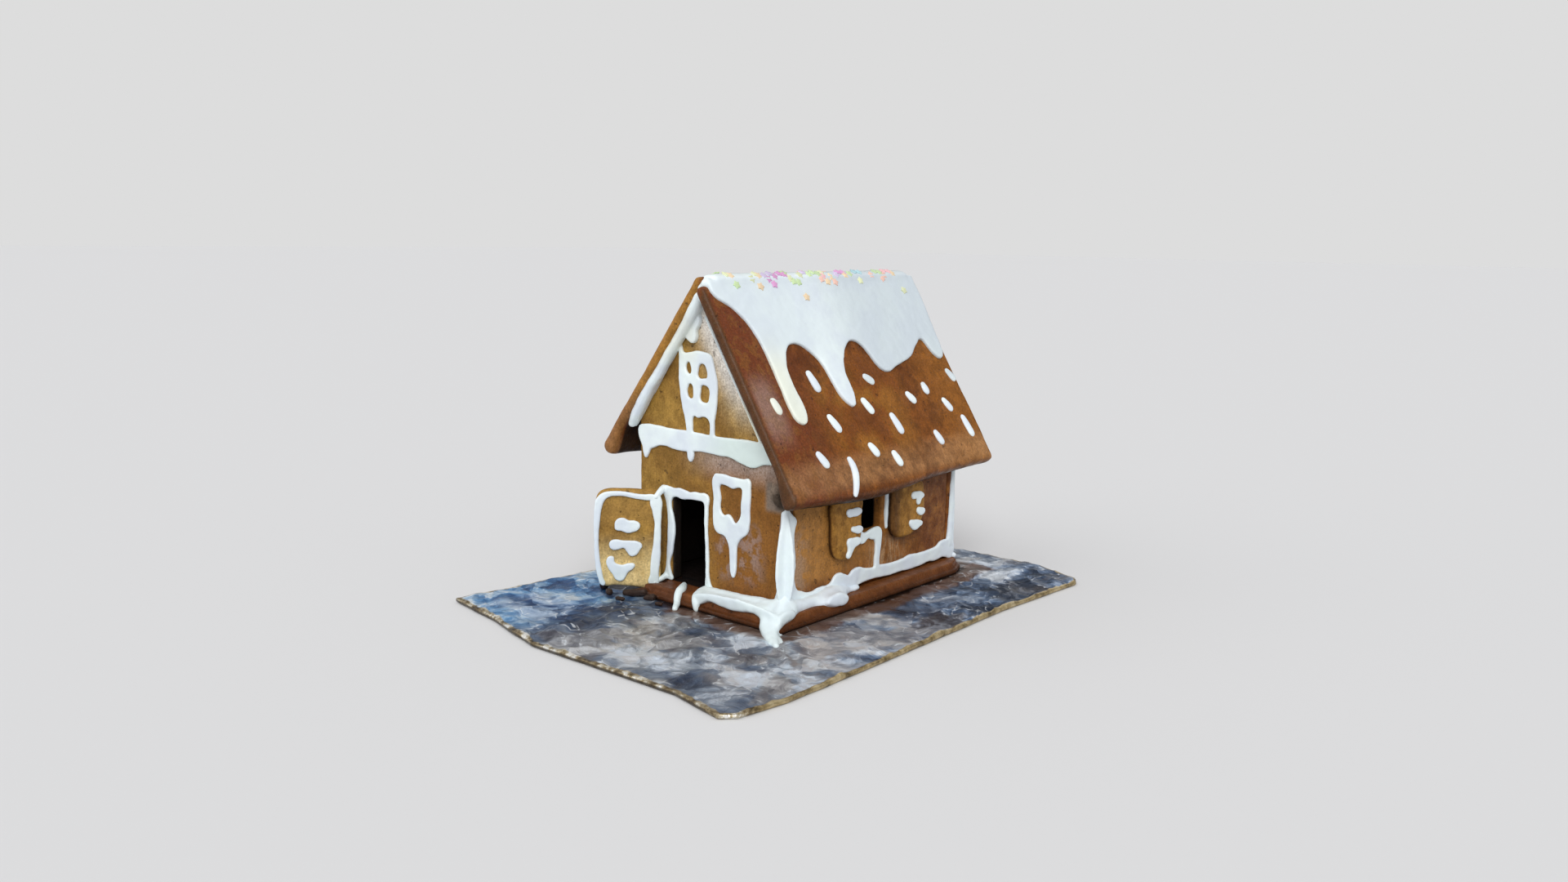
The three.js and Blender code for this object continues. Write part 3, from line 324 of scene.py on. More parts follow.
# In plan, the spill on the foil at the corner.
FOIL_SPILL = [
    (63, -17), (64, -20.6), (68, -24), (73, -28.6), (79, -32), (84, -32.4), (85.4, -29.4),
    (81, -24), (75.6, -20), (74, -16),
]
BASE_BEADS = [
    # over the plate's top edge, in front and on the right
    [(4, -15, 7.4, 1.4), (10.4, -15.4, 6.2, 1.8), (17, -13.4, 7.8, 1.3), (28, -14.8, 7.2, 1.6),
     (37, -15.2, 7, 1.6), (49, -13, 7.8, 1.3), (57, -14.2, 7.4, 1.7), (66, -14.4, 5.6, 2.8)],
    [(69.6, -14, 5.6, 2.8), (70, -6, 6.6, 2.2), (68, 2, 7.4, 1.6), (64.6, 12, 7.9, 1.3),
     (65, 22, 7.9, 1.3), (69.6, 29, 7, 1.8), (70.6, 36, 6.2, 2), (70, 43, 6.6, 1.9),
     (66.6, 50, 7.9, 1.3)],
    # down the corner
    [(60, 1.4, 21.2, 3.4), (61.4, -0.4, 13.2, 5), (64, -4.4, 9, 6), (66.6, -10.6, 6.6, 5.4),
     (68, -15, 4.8, 4.2)],
    # along the front wall and between it and the plate's edge
    [(4, -3.4, 8.2, 2.8), (30, -3.8, 8.6, 3.6), (50, -3.8, 9.2, 4.4), (60, -4.6, 9.4, 5.4)],
    [(5, -9, 7.4, 2.6), (18, -8.6, 7.4, 2.8), (34, -9.4, 7.4, 3.2), (46, -8.6, 7.6, 3.4),
     (58, -10, 7.8, 4.2)],
    # along the right wall and over its lobe
    [(65, -2, 9.2, 5.4), (64.6, 8, 9, 4.6), (64, 24, 9, 4), (63.8, 34, 10, 4.8),
     (63.8, 44, 10, 4.6), (63.4, 54, 8.8, 3)],
    [(66.4, 22, 7.6, 3), (68, 31, 7.8, 4.6), (67.6, 40, 8, 4.6), (65, 49, 8.4, 3.2)],
    # along the front ledge, and the two tongues that run down the corner onto the foil
    [(8, -12.4, 7, 2.4), (28, -12.6, 7, 2.4), (46, -12, 7.2, 2.6), (60, -13, 7, 3.4)],
    [(62, -15, 6, 4.4), (63.6, -18.4, 2.8, 4), (68, -22.4, 0.8, 3.4), (74, -27, 0.2, 2.8),
     (80.6, -32, 0.1, 2.4)],
    [(67, -14.6, 6, 4.6), (69.4, -18.4, 2.8, 4.2), (73, -22, 0.8, 3.4), (79, -28, 0.2, 2.8),
     (85.6, -34, 0.1, 2.4)],
]
# The drips by the doorstep.
DOORSTEP_DRIPS = [
    [(0.6, -3, 8, 2.8), (2.6, -10, 7.6, 3), (5.6, -15.6, 6.8, 3), (7.4, -17.8, 3.8, 2.6),
     (8.4, -18.4, 1.4, 2)],
    [(-18, -3, 7.3, 2), (-13.6, -8.6, 7.4, 2.8), (-10.4, -14, 7, 2.9), (-8.6, -17.8, 4.6, 2.5),
     (-6.6, -20, 1.8, 2.1), (-2.6, -25.6, 0.4, 1.8)],
]
# The foot of the back and left walls, in plan.
BACK_BASE = [(62.6, 172), (40, 174.2), (0, 174.6), (-64.4, 174), (-64.4, 100), (-64.8, 4)]
# Icing under the front overhang of the left roof slab: [across, front, below the slab, radius].
RAKE_ICING = [
    (4.4, -7.4, 1.6, 2.2), (-1, -7, 3.2, 2.8), (-6, -6, 3.2, 3.4), (-13, -5, 3, 3.4),
    (-21, -4.6, 2.6, 3), (-30, -5, 2.4, 2.8), (-38, -4.4, 2.6, 3.2), (-46, -5, 2.6, 3.2),
    (-54, -4.6, 3, 3.6), (-60, -4, 3.4, 3.4), (-64, -3.4, 4, 2.6),
]

# Other beads of (x, y, z, radius) or (up, radius).
DOOR_JOINTS = [
    [(-38.6, -0.8, 65, 2), (-37.6, -4, 63.6, 2), (-37.4, -8, 60.6, 1.9)],
    [(-36.6, -0.6, 9.6, 2.2), (-36, -4, 8.6, 1.8), (-38, -9, 6.4, 1.4)],
]
# A lump under the right slab's front corner; its grey is partly painted shade and its dark end a
# painted shadow.
KNOB = [(53.4, 0.4, 79.6, 2.6), (54.6, -0.6, 74.8, 4), (56.6, -0.4, 70.6, 3.2)]
SEAM_BEAD = [(48, 3.8), (36, 4.1), (24, 4.2), (10, 5)]
REAR_BEAD = [(64, 2), (50, 2.6), (36, 2.9), (24, 2.8), (10, 3)]
LEFT_SEAM_SHARE = 0.85  # height of the left corner seam as a share of the right one's

MELTED = {"voxel": 0.7, "rounding": 32}  # how far thick icing runs together

SPRINKLE_COLOURS = {
    "leaf": (0.6, 0.76, 0.42),
    "lime": (0.76, 0.8, 0.5),
    "orange": (0.88, 0.68, 0.44),
    "salmon": (0.9, 0.58, 0.48),
    "magenta": (0.7, 0.34, 0.6),
    "purple": (0.66, 0.56, 0.76),
    "teal": (0.45, 0.68, 0.74),
    "rose": (0.85, 0.5, 0.52),
}
SPRINKLES = [
    (9.5, 4.4, "lime"), (12.4, 5.6, "orange"), (13.9, 12.1, "leaf"), (34, 4.6, "lime"),
    (36, 6.2, "orange"), (33.9, 13.7, "orange"), (47, 4.4, "purple"), (56, 4.6, "magenta"),
    (59.8, 5.8, "magenta"), (61, 3.8, "leaf"), (43.6, 8.8, "magenta"), (46.8, 12.4, "magenta"),
    (65.4, 10.6, "leaf"), (69.8, 11.4, "leaf"), (78.8, 3.6, "purple"), (71.2, 22.1, "orange"),
    (88, 4, "leaf"), (92.4, 5.6, "leaf"), (96.4, 4.6, "lime"), (93, 9.6, "salmon"),
    (98.4, 11.6, "orange"), (105.5, 12.1, "salmon"), (114, 4, "magenta"), (118.4, 4.4, "magenta"),
    (118.7, 7.2, "orange"), (131, 4, "teal"), (135.5, 4.8, "teal"), (132, 11.5, "lime"),
    (153, 4.4, "leaf"), (156.9, 5.4, "leaf"), (156.9, 10.4, "salmon"), (163, 4, "rose"),
    (168, 4.6, "rose"), (170.4, 6.8, "orange"), (174.9, 20.1, "lime"), (29, 8.4, "lime"),
    (41, 6.2, "purple"), (50, 7, "magenta"), (63, 8.6, "lime"), (74, 6.4, "lime"), (83, 6, "leaf"),
    (96, 7.4, "rose"), (102.6, 8.4, "orange"), (110, 6.6, "purple"), (124, 6.4, "leaf"),
    (146, 7.6, "salmon"), (160, 8, "salmon"),
]
HIDDEN_SPRINKLES = 12

# ---- Modelling -----------------------------------------------------------------------------------


def deselect():
    for other in list(bpy.context.selected_objects):
        other.select_set(False)


def only(*objects):
    """Selects these objects alone, the first of them active."""
    deselect()
    for obj in objects:
        obj.select_set(True)
    bpy.context.view_layer.objects.active = objects[0]


def new_curve(dimensions):
    """An empty curve, "2D" or "3D"."""
    deselect()
    bpy.ops.curve.primitive_bezier_curve_add()
    drawn = bpy.context.object
    drawn.data.splines.clear()
    drawn.data.dimensions = dimensions
    return drawn


def as_mesh(drawn):
    """Turns a drawn curve into a closed mesh."""
    only(drawn)
    bpy.ops.object.convert(target="MESH")
    drawn = bpy.context.object
    bpy.ops.object.mode_set(mode="EDIT")
    bpy.ops.mesh.select_all(action="SELECT")
    bpy.ops.mesh.remove_doubles(threshold=0.001)
    bpy.ops.mesh.normals_make_consistent(inside=False)
    bpy.ops.object.mode_set(mode="OBJECT")
    return drawn


def area_of(outline):
    """Signed area of an outline, above zero if it runs anticlockwise."""
    pairs = zip(outline, [*outline[1:], outline[0]])
    return sum(a[0] * b[1] - b[0] * a[1] for a, b in pairs) / 2


def slab(outline, low, high, edge, holes=(), smooth=True, wider=0.0):
    """A flat piece with round edges inside an outline, from local height low to high.

    A point with a third value is a corner in a smooth outline.
    """
    drawn = new_curve("2D")
    curve = drawn.data
    curve.fill_mode = "BOTH"
    curve.resolution_u = 6
    for loop, wanted in [(outline, 1), *((hole, -1) for hole in holes)]:
        points = list(loop) if area_of(loop) * wanted > 0 else list(loop)[::-1]
        spline = curve.splines.new("BEZIER")
        spline.bezier_points.add(len(points) - 1)
        for point, at in zip(spline.bezier_points, points):
            point.co = (at[0], at[1], 0)
            corner = not smooth or len(at) > 2
            point.handle_left_type = point.handle_right_type = "VECTOR" if corner else "AUTO"
        spline.use_cyclic_u = True
    curve.extrude = (high - low) / 2 - edge
    curve.bevel_depth = edge
    curve.bevel_resolution = 3
    curve.offset = wider - edge
    piece = as_mesh(drawn)
    piece.data.transform(Matrix.Translation((0, 0, (low + high) / 2)))
    return piece


def smooth_path(points, step=1.5):
    """Points with their radii along a smooth line through the given ones, with round ends."""
    points = [Vector(p) for p in points]
    ends = [2 * points[0] - points[1], *points, 2 * points[-1] - points[-2]]
    path = []
    for a, b, c, d in zip(ends, ends[1:], ends[2:], ends[3:]):
        count = max(2, round((c - b).length / step))
        for i in range(count):
            t = i / count
            path.append(0.5 * (2 * b + (c - a) * t + (2 * a - 5 * b + 4 * c - d) * t * t
                               + (3 * b - a - 3 * c + d) * t ** 3))
    path.append(points[-1])
    size = len(points[0]) - 1
    rounded = list(path)
    for end, inner, at_start in ((path[0], path[1], True), (path[-1], path[-2], False)):
        place, before = Vector(end[:size]), Vector(inner[:size])
        away = (place - before).normalized()
        for share in (0.35, 0.65, 0.85, 0.97, 1):
            spot = place + away * end[size] * share
            radius = end[size] * math.sqrt(max(1 - share * share, 0.0004))
            cap = Vector((*spot, radius))
            rounded = [cap, *rounded] if at_start else [*rounded, cap]
    return rounded


def tube(path):
    """A round bead of icing along a path of (x, y, z, radius)."""
    drawn = new_curve("3D")
    curve = drawn.data
    spline = curve.splines.new("POLY")
    spline.points.add(len(path) - 1)
    for point, at in zip(spline.points, path):
        point.co = (at[0], at[1], at[2], 1)
        point.radius = at[3]
    curve.bevel_depth = 1
    curve.bevel_resolution = 3
    curve.use_fill_caps = True
    return as_mesh(drawn)


def piped_line(points, height):
    """A line of icing on a face, through (across, up, radius), flattened to a height."""
    path = [Vector((p[0], p[1], 0, p[2])) for p in smooth_path(points)]
    piece = tube(path)
    middle = sum(p[2] for p in points) / len(points)
    piece.data.transform(Matrix.Diagonal((1, 1, height / middle, 1)))
    return piece


def bead(points):
    """A free bead of icing through (x, y, z, radius)."""
    return tube(smooth_path(points))


def dab(outline, height, holes=(), sunk=0.6):
    """A patch of icing on a face, inside an outline."""
    edge = min(0.9, (height + sunk) / 2.2)
    return slab(outline, -sunk, height, edge, holes, wider=0.3)


def rectangle(left, low, right, high):
    return [(left, low), (right, low), (right, high), (left, high)]


def turned(outline, turn=-1):
    """An outline or line as it stands, or mirrored across for the other side."""
    return [(turn * p[0], *p[1:]) for p in outline]


def placed(piece, matrix):
    piece.data.transform(matrix)
    return piece


def joined(name, pieces):
    only(*pieces)
    bpy.ops.object.join()
    piece = bpy.context.object
    piece.name = piece.data.name = name
    return piece


def applied(piece, kind, **values):
    """Adds a modifier, sets its values and applies it."""
    only(piece)
    bpy.ops.object.modifier_add(type=kind)
    modifier = piece.modifiers[-1]
    for key, value in values.items():
        setattr(modifier, key, value)
    bpy.ops.object.modifier_apply(modifier=modifier.name)
    return piece


def cloud(name, size, depth=2):
    """A soft procedural texture for a Displace modifier; size is in millimetres."""
    texture = bpy.data.textures.get(name)
    if texture is None:
        texture = bpy.data.textures.new(name, "CLOUDS")
        texture.noise_scale, texture.noise_depth = size, depth
    return texture


def baked(piece, voxel=0.9, rounding=8, dents=0.9, fine=0.35, kept=0.5):
    """Rounds and roughens a slab as baking does."""
    applied(piece, "REMESH", mode="VOXEL", voxel_size=voxel * COARSE)
    applied(piece, "SMOOTH", factor=0.5, iterations=rounding)
    applied(piece, "DISPLACE", texture=cloud("Bake dents", 34), strength=dents, mid_level=0.5)
    applied(piece, "DISPLACE", texture=cloud("Bake bumps", 9), strength=fine, mid_level=0.5)
    if kept < 1:
        applied(piece, "DECIMATE", ratio=kept)
    return piece


def set_hard(piece, voxel=0.5, rounding=6, waves=0.5, kept=1.0):
    """Melts piped shapes into one smooth body of icing."""
    applied(piece, "REMESH", mode="VOXEL", voxel_size=voxel * COARSE)
    applied(piece, "SMOOTH", factor=0.5, iterations=rounding)
    applied(piece, "DISPLACE", texture=cloud("Icing waves", 7, 1), strength=waves, mid_level=0.5)
    applied(piece, "SMOOTH", factor=0.5, iterations=2)
    if kept < 1:
        applied(piece, "DECIMATE", ratio=kept)
    return piece


def finished(piece, material, slot, *nodes):
    """Carries a piece to its place in the row frame and gives it its finish."""
    piece.data.transform(HOUSE)
    piece.data.materials.clear()
    piece.data.materials.append(material)
    only(piece)
    bpy.ops.object.shade_smooth()
    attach(piece, "root")
    if nodes:
        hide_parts(*nodes)
    return piece


# ---- Finishes ------------------------------------------------------------------------------------


def group_of(name, inputs, outputs):
    """A new shader node group and its input and output nodes. Sockets are (name, kind, default)."""
    group = bpy.data.node_groups.new(name, "ShaderNodeTree")
    for label, kind, default in inputs:
        socket = group.interface.new_socket(label, in_out="INPUT", socket_type=kind)
        if default is not None:
            socket.default_value = default
    for label, kind in outputs:
        group.interface.new_socket(label, in_out="OUTPUT", socket_type=kind)
    return group, group.nodes.new("NodeGroupInput"), group.nodes.new("NodeGroupOutput")


def feed(tree, socket, value):
    """Links a value to a socket, or sets it there."""
    if isinstance(value, bpy.types.NodeSocket):
        tree.links.new(value, socket)
    else:
        socket.default_value = value


def add(tree, kind, links=(), **values):
    """Adds a node: keyword values set its settings, links its inputs by name or number."""
    node = tree.nodes.new(kind)
    for key, value in values.items():
        setattr(node, key, value)
    for key, value in dict(links).items():
        feed(tree, node.inputs[key], value)
    return node


def maths(tree, operation, a, b=0.0):
    return add(tree, "ShaderNodeMath", {0: a, 1: b}, operation=operation).outputs[0]


def mix(tree, share, a, b, blend="MIX"):
    """Mixes two colours."""
    node = tree.nodes.new("ShaderNodeMix")
    node.data_type = "RGBA"
    node.blend_type = blend
    for key, value in (("Factor", share), (6, a), (7, b)):
        feed(tree, node.inputs[key], value)
    return node.outputs[2]


def span(tree, value, low, high, to_low=0.0, to_high=1.0):
    """Maps a range smoothly onto another."""
    return add(tree, "ShaderNodeMapRange", {
        "Value": value, "From Min": low, "From Max": high, "To Min": to_low, "To Max": to_high,
    }, interpolation_type="SMOOTHSTEP").outputs[0]


def millimetres(tree, vector):
    return add(tree, "ShaderNodeVectorMath", {0: vector, 3: 1000.0}, operation="SCALE").outputs[0]


def noise_of(tree, place, size, detail=2.0, rough=0.55, stretch=None, distortion=0.0):
    """Noise with features of a size in millimetres, its places scaled along the axes."""
    if stretch:
        place = add(tree, "ShaderNodeVectorMath", {0: place, 1: stretch},
                    operation="MULTIPLY").outputs[0]
    scale = maths(tree, "DIVIDE", 1.0, size)
    return add(tree, "ShaderNodeTexNoise", {
        "Vector": place, "Scale": scale, "Detail": detail, "Roughness": rough,
        "Distortion": distortion,
    }).outputs["Fac"]


def crumb_group():
    """Baked dough: mottling, blotches, speckle, upright grain, pits and the height of it all."""
    names = ("Mottle", "Blotch", "Speckle", "Grain", "Pits", "Height")
    group, start, end = group_of(
        "Gingerbread Crumb",
        [("Vector", "NodeSocketVector", None), ("Mottle Size", "NodeSocketFloat", 26.0),
         ("Speckle Size", "NodeSocketFloat", 1.3)],
        [(name, "NodeSocketFloat") for name in names],
    )
    place = millimetres(group, start.outputs["Vector"])
    broad, small = start.outputs["Mottle Size"], start.outputs["Speckle Size"]
    mottle = noise_of(group, place, broad, 4.0)
    blotch = noise_of(group, place, maths(group, "MULTIPLY", small, 5.0), 3.0)
    speckle = noise_of(group, place, small, 3.0, 0.7)
    grain = noise_of(group, place, maths(group, "MULTIPLY", small, 1.4), 3.0, 0.6, (1, 1, 0.16),
                     0.6)
    pits = span(group, noise_of(group, place, maths(group, "MULTIPLY", small, 2.6)), 0.68, 0.76)
    height = maths(group, "MULTIPLY", speckle, 0.6)
    height = maths(group, "SUBTRACT", maths(group, "ADD", height, blotch), pits)
    for value, label in zip((mottle, blotch, speckle, grain, pits, height), names):
        group.links.new(value, end.inputs[label])
    return group


def place_group():
    """Where a point is on the house: millimetres from the front, the middle and the foil."""
    group, start, end = group_of(
        "House Place",
        [("Vector", "NodeSocketVector", None)],
        [("Across", "NodeSocketFloat"), ("Back", "NodeSocketFloat"), ("Up", "NodeSocketFloat")],
    )
    origin = HOUSE.translation
    moved = add(group, "ShaderNodeVectorMath", {0: start.outputs["Vector"], 1: tuple(-origin)},
                operation="ADD").outputs[0]
    parts = add(group, "ShaderNodeSeparateXYZ", {0: millimetres(group, moved)})
    for i, label in enumerate(("Across", "Back", "Up")):
        group.links.new(parts.outputs[i], end.inputs[label])
    return group


def used_group(tree, group, **values):
    """Puts a node group into a tree; an underscore in a keyword stands for a space."""
    node = tree.nodes.new("ShaderNodeGroup")
    node.node_tree = group
    for key, value in values.items():
        feed(tree, node.inputs[key.replace("_", " ")], value)
    return node


def new_material(name):
    """A material with its Principled shader and Object coordinates."""
    material = bpy.data.materials.new(name)
    material.use_nodes = True
    tree = material.node_tree
    shader = tree.nodes["Principled BSDF"]
    place = tree.nodes.new("ShaderNodeTexCoord").outputs["Object"]
    return material, tree, shader, place


def bumped(tree, shader, height, distance, strength=1.0):
    bump = add(tree, "ShaderNodeBump", {
        "Height": height, "Distance": distance, "Strength": strength,
    })
    tree.links.new(bump.outputs[0], shader.inputs["Normal"])


class Finish:
    """A material whose colour is built up from tints laid over parts of the house."""

    def __init__(self, name, groups, colours):
        self.material, self.tree, self.shader, self.place = new_material(name)
        self.colours = colours
        spot = used_group(self.tree, groups["place"], Vector=self.place).outputs
        self.across, self.back, self.up = spot["Across"], spot["Back"], spot["Up"]
        self.colour = None

    def maths(self, operation, a, b):
        return maths(self.tree, operation, a, b)

    def mask(self, *edges):
        """The product of soft edges, each (value or its name here, from nothing, to full)."""
        share = None
        for value, low, high in edges:
            value = getattr(self, value) if isinstance(value, str) else value
            step = span(self.tree, value, low, high)
            share = step if share is None else self.maths("MULTIPLY", share, step)
        return share

    def tint(self, colour, share, *edges):
        """Lays a share of a colour, or of one named in the settings, inside soft edges."""
        colour = getattr(self.colours, colour) if isinstance(colour, str) else colour
        share = self.maths("MULTIPLY", self.mask(*edges), share)
        self.colour = mix(self.tree, share, self.colour, (*colour, 1))

    def tints(self, table):
        for row in table.values():
            self.tint(*row)

    def mottled(self, crumb, pale, deep):
        """Starts the colour as a pale one with soft patches of a deep one."""
        share = span(self.tree, crumb["Mottle"], 0.36, 0.62)
        self.colour = mix(self.tree, share, (*pale, 1), (*deep, 1))


class Dough(Finish):
    """The finish that all baked slabs share: mottled colour, crumb and a soft glaze."""

    def __init__(self, name, groups, colours, pale, deep):
        super().__init__(name, groups, colours)
        self.crumb = used_group(self.tree, groups["crumb"], Vector=self.place).outputs
        self.mottle, self.blotch, self.speckle, self.grain = (
            self.crumb[label] for label in ("Mottle", "Blotch", "Speckle", "Grain")
        )
        self.mottled(self.crumb, pale, deep)

    def crumbs(self, strength):
        """Fine light and dark grain over everything, with dark pits of painted shade."""
        for value, low, high, reach in (
            (self.blotch, 0.36, 0.64, 0.1), (self.grain, 0.34, 0.66, 0.06),
            (self.speckle, 0.3, 0.72, 0.18),
        ):
            grey = span(self.tree, value, low, high, 1 + reach * strength, 1 - reach * strength)
            self.colour = mix(self.tree, 1.0, self.colour, grey, "MULTIPLY")
        # Painted shade in the pits.
        self.tint((0.03, 0.013, 0.006), 0.5, (self.crumb["Pits"], 0, 1))

    def paint_shade_inside(self):
        """Paints shade on the faces that look into the room and on the sides of the doorway."""
        self.width = maths(self.tree, "ABSOLUTE", self.across)
        self.tints(PAINTED_SHADE_INSIDE)

    def glazed(self, roughness, coat):
        """Finishes the surface with a soft egg-wash glaze."""
        tree, shader = self.tree, self.shader
        tree.links.new(self.colour, shader.inputs["Base Color"])
        rough = span(tree, self.blotch, 0.3, 0.7, roughness - 0.1, roughness + 0.12)
        tree.links.new(rough, shader.inputs["Roughness"])
        shader.inputs["Specular IOR Level"].default_value = 0.1
        shader.inputs["Coat Weight"].default_value = coat
        shader.inputs["Coat Roughness"].default_value = 0.28
        bumped(tree, shader, self.crumb["Height"], 0.0006)
        return self.material


# Tints are (colour, share, edges); an edge is (what, where the tint starts, where it is full) in
# millimetres on the house or in the range of the crumb's noises. A later tint covers earlier ones.

WALL_FACE = ("back", -3, -1)
DOOR_LEAF = (("back", -4.5, -6), ("across", -32, -33.5))
SHUTTERS = ("across", 60.5, 61)
RIGHT_END = (("back", -9.4, -11.6), ("across", 4, 8))
LEFT_END = (("back", -4.5, -7), ("across", 2, -2))
GABLE_PIPING = ("back", 6, 2)

# Painted shade: near black on the faces inside the house and on the doorway's sides.
PAINTED_SHADE_INSIDE = {
    "room": ((0.008, 0.007, 0.007), 0.98, ("width", 56.5, 54.5), ("back", 6, 9),
             ("back", 170, 166)),
    "doorway": ((0.008, 0.007, 0.007), 0.98, ("back", -0.9, 0.6), ("back", 12, 10),
                ("across", -32.4, -31), ("across", -0.9, -2.2), ("up", 62.8, 61.6)),
}
GOLDEN_TINTS = {
    "warmer to the right": ("golden_warm", 0.85, WALL_FACE, ("across", -36, 26), ("up", 106, 78)),
    "brown low on the right": ((0.27, 0.11, 0.024), 0.6, WALL_FACE, ("across", 18, 40),
                               ("up", 60, 30), ("mottle", 0.4, 0.6)),
    "flour by the rake": ("flour", 0.8, WALL_FACE, ("rake", 116, 168), ("up", 98, 122),
                          ("speckle", 0.9, 0.36)),
    "thick flour by the rake": ((0.84, 0.8, 0.74), 0.95, WALL_FACE, ("rake", 138, 167),
                                ("up", 106, 140), ("speckle", 1.15, 0.4)),
    "flour under the band": ((0.36, 0.29, 0.26), 0.85, WALL_FACE, ("up", 72, 89), ("up", 103, 96),
                             ("across", -30, 12), ("speckle", 1, 0.35)),
    "bloom by the window drip": ((0.42, 0.3, 0.26), 0.6, WALL_FACE, ("across", 2, 12),
                                 ("across", 50, 36), ("up", 12, 24), ("up", 58, 46),
                                 ("blotch", 0.44, 0.6)),
    "red at the foot": ((0.2, 0.075, 0.02), 0.6, WALL_FACE, ("up", 30, 8), ("across", -5, 40)),
    # Painted shade: the grey over the knob and the wall under the right slab's corner, and a
    # painted dark shadow at the knob's end.
    "grey knob and painted shade under the eave": ((0.2, 0.155, 0.12), 0.95, ("across", 44, 48), ("across", 66, 62), ("up", 62, 66),
                  ("up", 84, 79), ("back", 4, 1)),
    "painted shadow at the knob's end": ((0.05, 0.035, 0.024), 0.9, ("across", 52, 57), ("up", 64, 68),
                          ("up", 79, 74), ("back", 2, 0)),
    # The door: browner at the top, with a painted highlight paler towards its foot.
    "upper door": ((0.37, 0.21, 0.055), 0.8, *DOOR_LEAF, ("up", 36, 50)),
    "painted highlight on the lower door": ((0.78, 0.6, 0.28), 0.85, *DOOR_LEAF, ("up", 42, 12), ("mottle", 0.3, 0.48)),
    "shutters": ((0.36, 0.175, 0.034), 0.9, SHUTTERS),
    "brown patches on shutters": ((0.2, 0.085, 0.02), 0.5, SHUTTERS, ("blotch", 0.46, 0.64)),
    # Painted shade on the far shutter's near side, and a painted dark contact shadow round the
    # shutters' edges.
    "painted shade on the far shutter's near side": ((0.09, 0.036, 0.01), 0.85, SHUTTERS, ("back", 80, 96),
                                ("back", 108, 99)),
    "painted shadow round the shutters' edges": ((0.04, 0.018, 0.008), 0.9, SHUTTERS, ("across", 65.4, 63.6)),
}
RED_TINTS = {
    "golden by the corner": ((0.43, 0.2, 0.05), 0.85, ("back", 120, 24), ("up", 12, 26)),
    # Part bloom on the dough, part painted sheen beside the corner seam.
    "bloom and painted sheen by the corner": ((0.5, 0.37, 0.28), 0.5, ("back", 26, 10), ("up", 12, 20),
                            ("up", 62, 40), ("blotch", 0.42, 0.6)),
    "deep red at the rear": ((0.17, 0.052, 0.013), 0.8, ("back", 122, 140), ("blotch", 0.3, 0.6)),
    # Pale streaks along the grain, painted as highlights.
    "painted highlight streaks under the window": ((0.55, 0.36, 0.2), 0.6, ("back", 70, 90), ("back", 122, 104),
                                 ("up", 14, 20), ("up", 40, 26), ("grain", 0.4, 0.62)),
    # Painted glints: tiny pale specks.
    "pale specks of painted glint": ((0.42, 0.24, 0.1), 0.5, ("up", 14, 24), ("speckle", 0.5, 0.66),
                    ("mottle", 0.4, 0.6), ("back", 130, 100)),
    "plate": ((0.12, 0.036, 0.009), 0.9, ("up", 9.5, 7.8)),
    # The plate's side: a painted highlight along its upper tier, painted shade on its lower step
    # and a painted contact shadow at the foil.
    "painted highlight on the plate's upper edge": ((0.26, 0.1, 0.03), 0.6, ("up", 9, 7.6), ("up", 4, 5.4),
                          ("speckle", 0.4, 0.62)),
    "painted shade on the plate's lower step": ((0.035, 0.012, 0.004), 0.8, ("up", 4.6, 2.4), ("speckle", 0.75, 0.4)),
    "painted contact shadow at the foil": ((0.012, 0.006, 0.004), 0.9, ("up", 1.8, 0.6)),
    "doorstep": ((0.1, 0.035, 0.015), 0.7, ("up", 9, 7.9), ("across", -2, -8), ("back", 4, -2)),
    # Dark crumbs, partly painted shadow of the door on the foil.
    "dark crumbs and painted shadow under the door": ((0.03, 0.02, 0.016), 0.9, ("back", -18.6, -20), ("across", -10, -15),
                           ("up", 7, 4)),
}
ROOF_TINTS = {
    "darker in front": ("roof_front", 0.85, ("back", 60, 6)),
    "golden patches": ((0.35, 0.14, 0.02), 0.75, ("back", 26, 60), ("back", 140, 100),
                       ("up", 146, 124), ("up", 80, 100), ("mottle", 0.42, 0.56)),
    "brown patches": ((0.12, 0.035, 0.008), 0.6, ("mottle", 0.46, 0.34), ("up", 84, 96)),
    "red patches in front": ((0.27, 0.1, 0.022), 0.6, ("back", 40, 10), ("blotch", 0.46, 0.6)),
    # Painted sheen: pale highlights near the front and over the eave.
    "painted sheen in front": ((0.5, 0.38, 0.32), 0.3, ("back", 14, 2), ("back", -12, -6), ("up", 146, 130),
                       ("up", 98, 118)),
    "golden at the rear": ((0.27, 0.1, 0.014), 0.85, ("back", 124, 184)),
    "painted sheen over the eave": ((0.42, 0.23, 0.1), 0.55, ("up", 73, 80), ("up", 97, 86),
                            ("mottle", 0.9, 0.3)),
    # Painted shade along the underside of the eave's nose.
    "painted shade under the eave": ((0.07, 0.026, 0.01), 0.8, ("up", 75, 68)),
    # Painted glints: tiny pale specks over the roof.
    "painted glint specks on the roof": ((0.45, 0.34, 0.26), 0.45, ("speckle", 0.66, 0.74), ("mottle", 0.46, 0.6)),
    # The right slab's cut end: its darker brown, deepened with painted shade.
    "brown and painted shade on the right slab's end": ((0.085, 0.036, 0.014), 0.94, *RIGHT_END),
    "crumbs on the right end": ((0.2, 0.12, 0.06), 0.6, *RIGHT_END, ("speckle", 0.56, 0.68)),
    "left slab's end, high": ((0.38, 0.185, 0.036), 0.9, *LEFT_END, ("up", 96, 130)),
    "left slab's end, low": ((0.3, 0.14, 0.045), 0.85, *LEFT_END, ("up", 130, 96)),
}
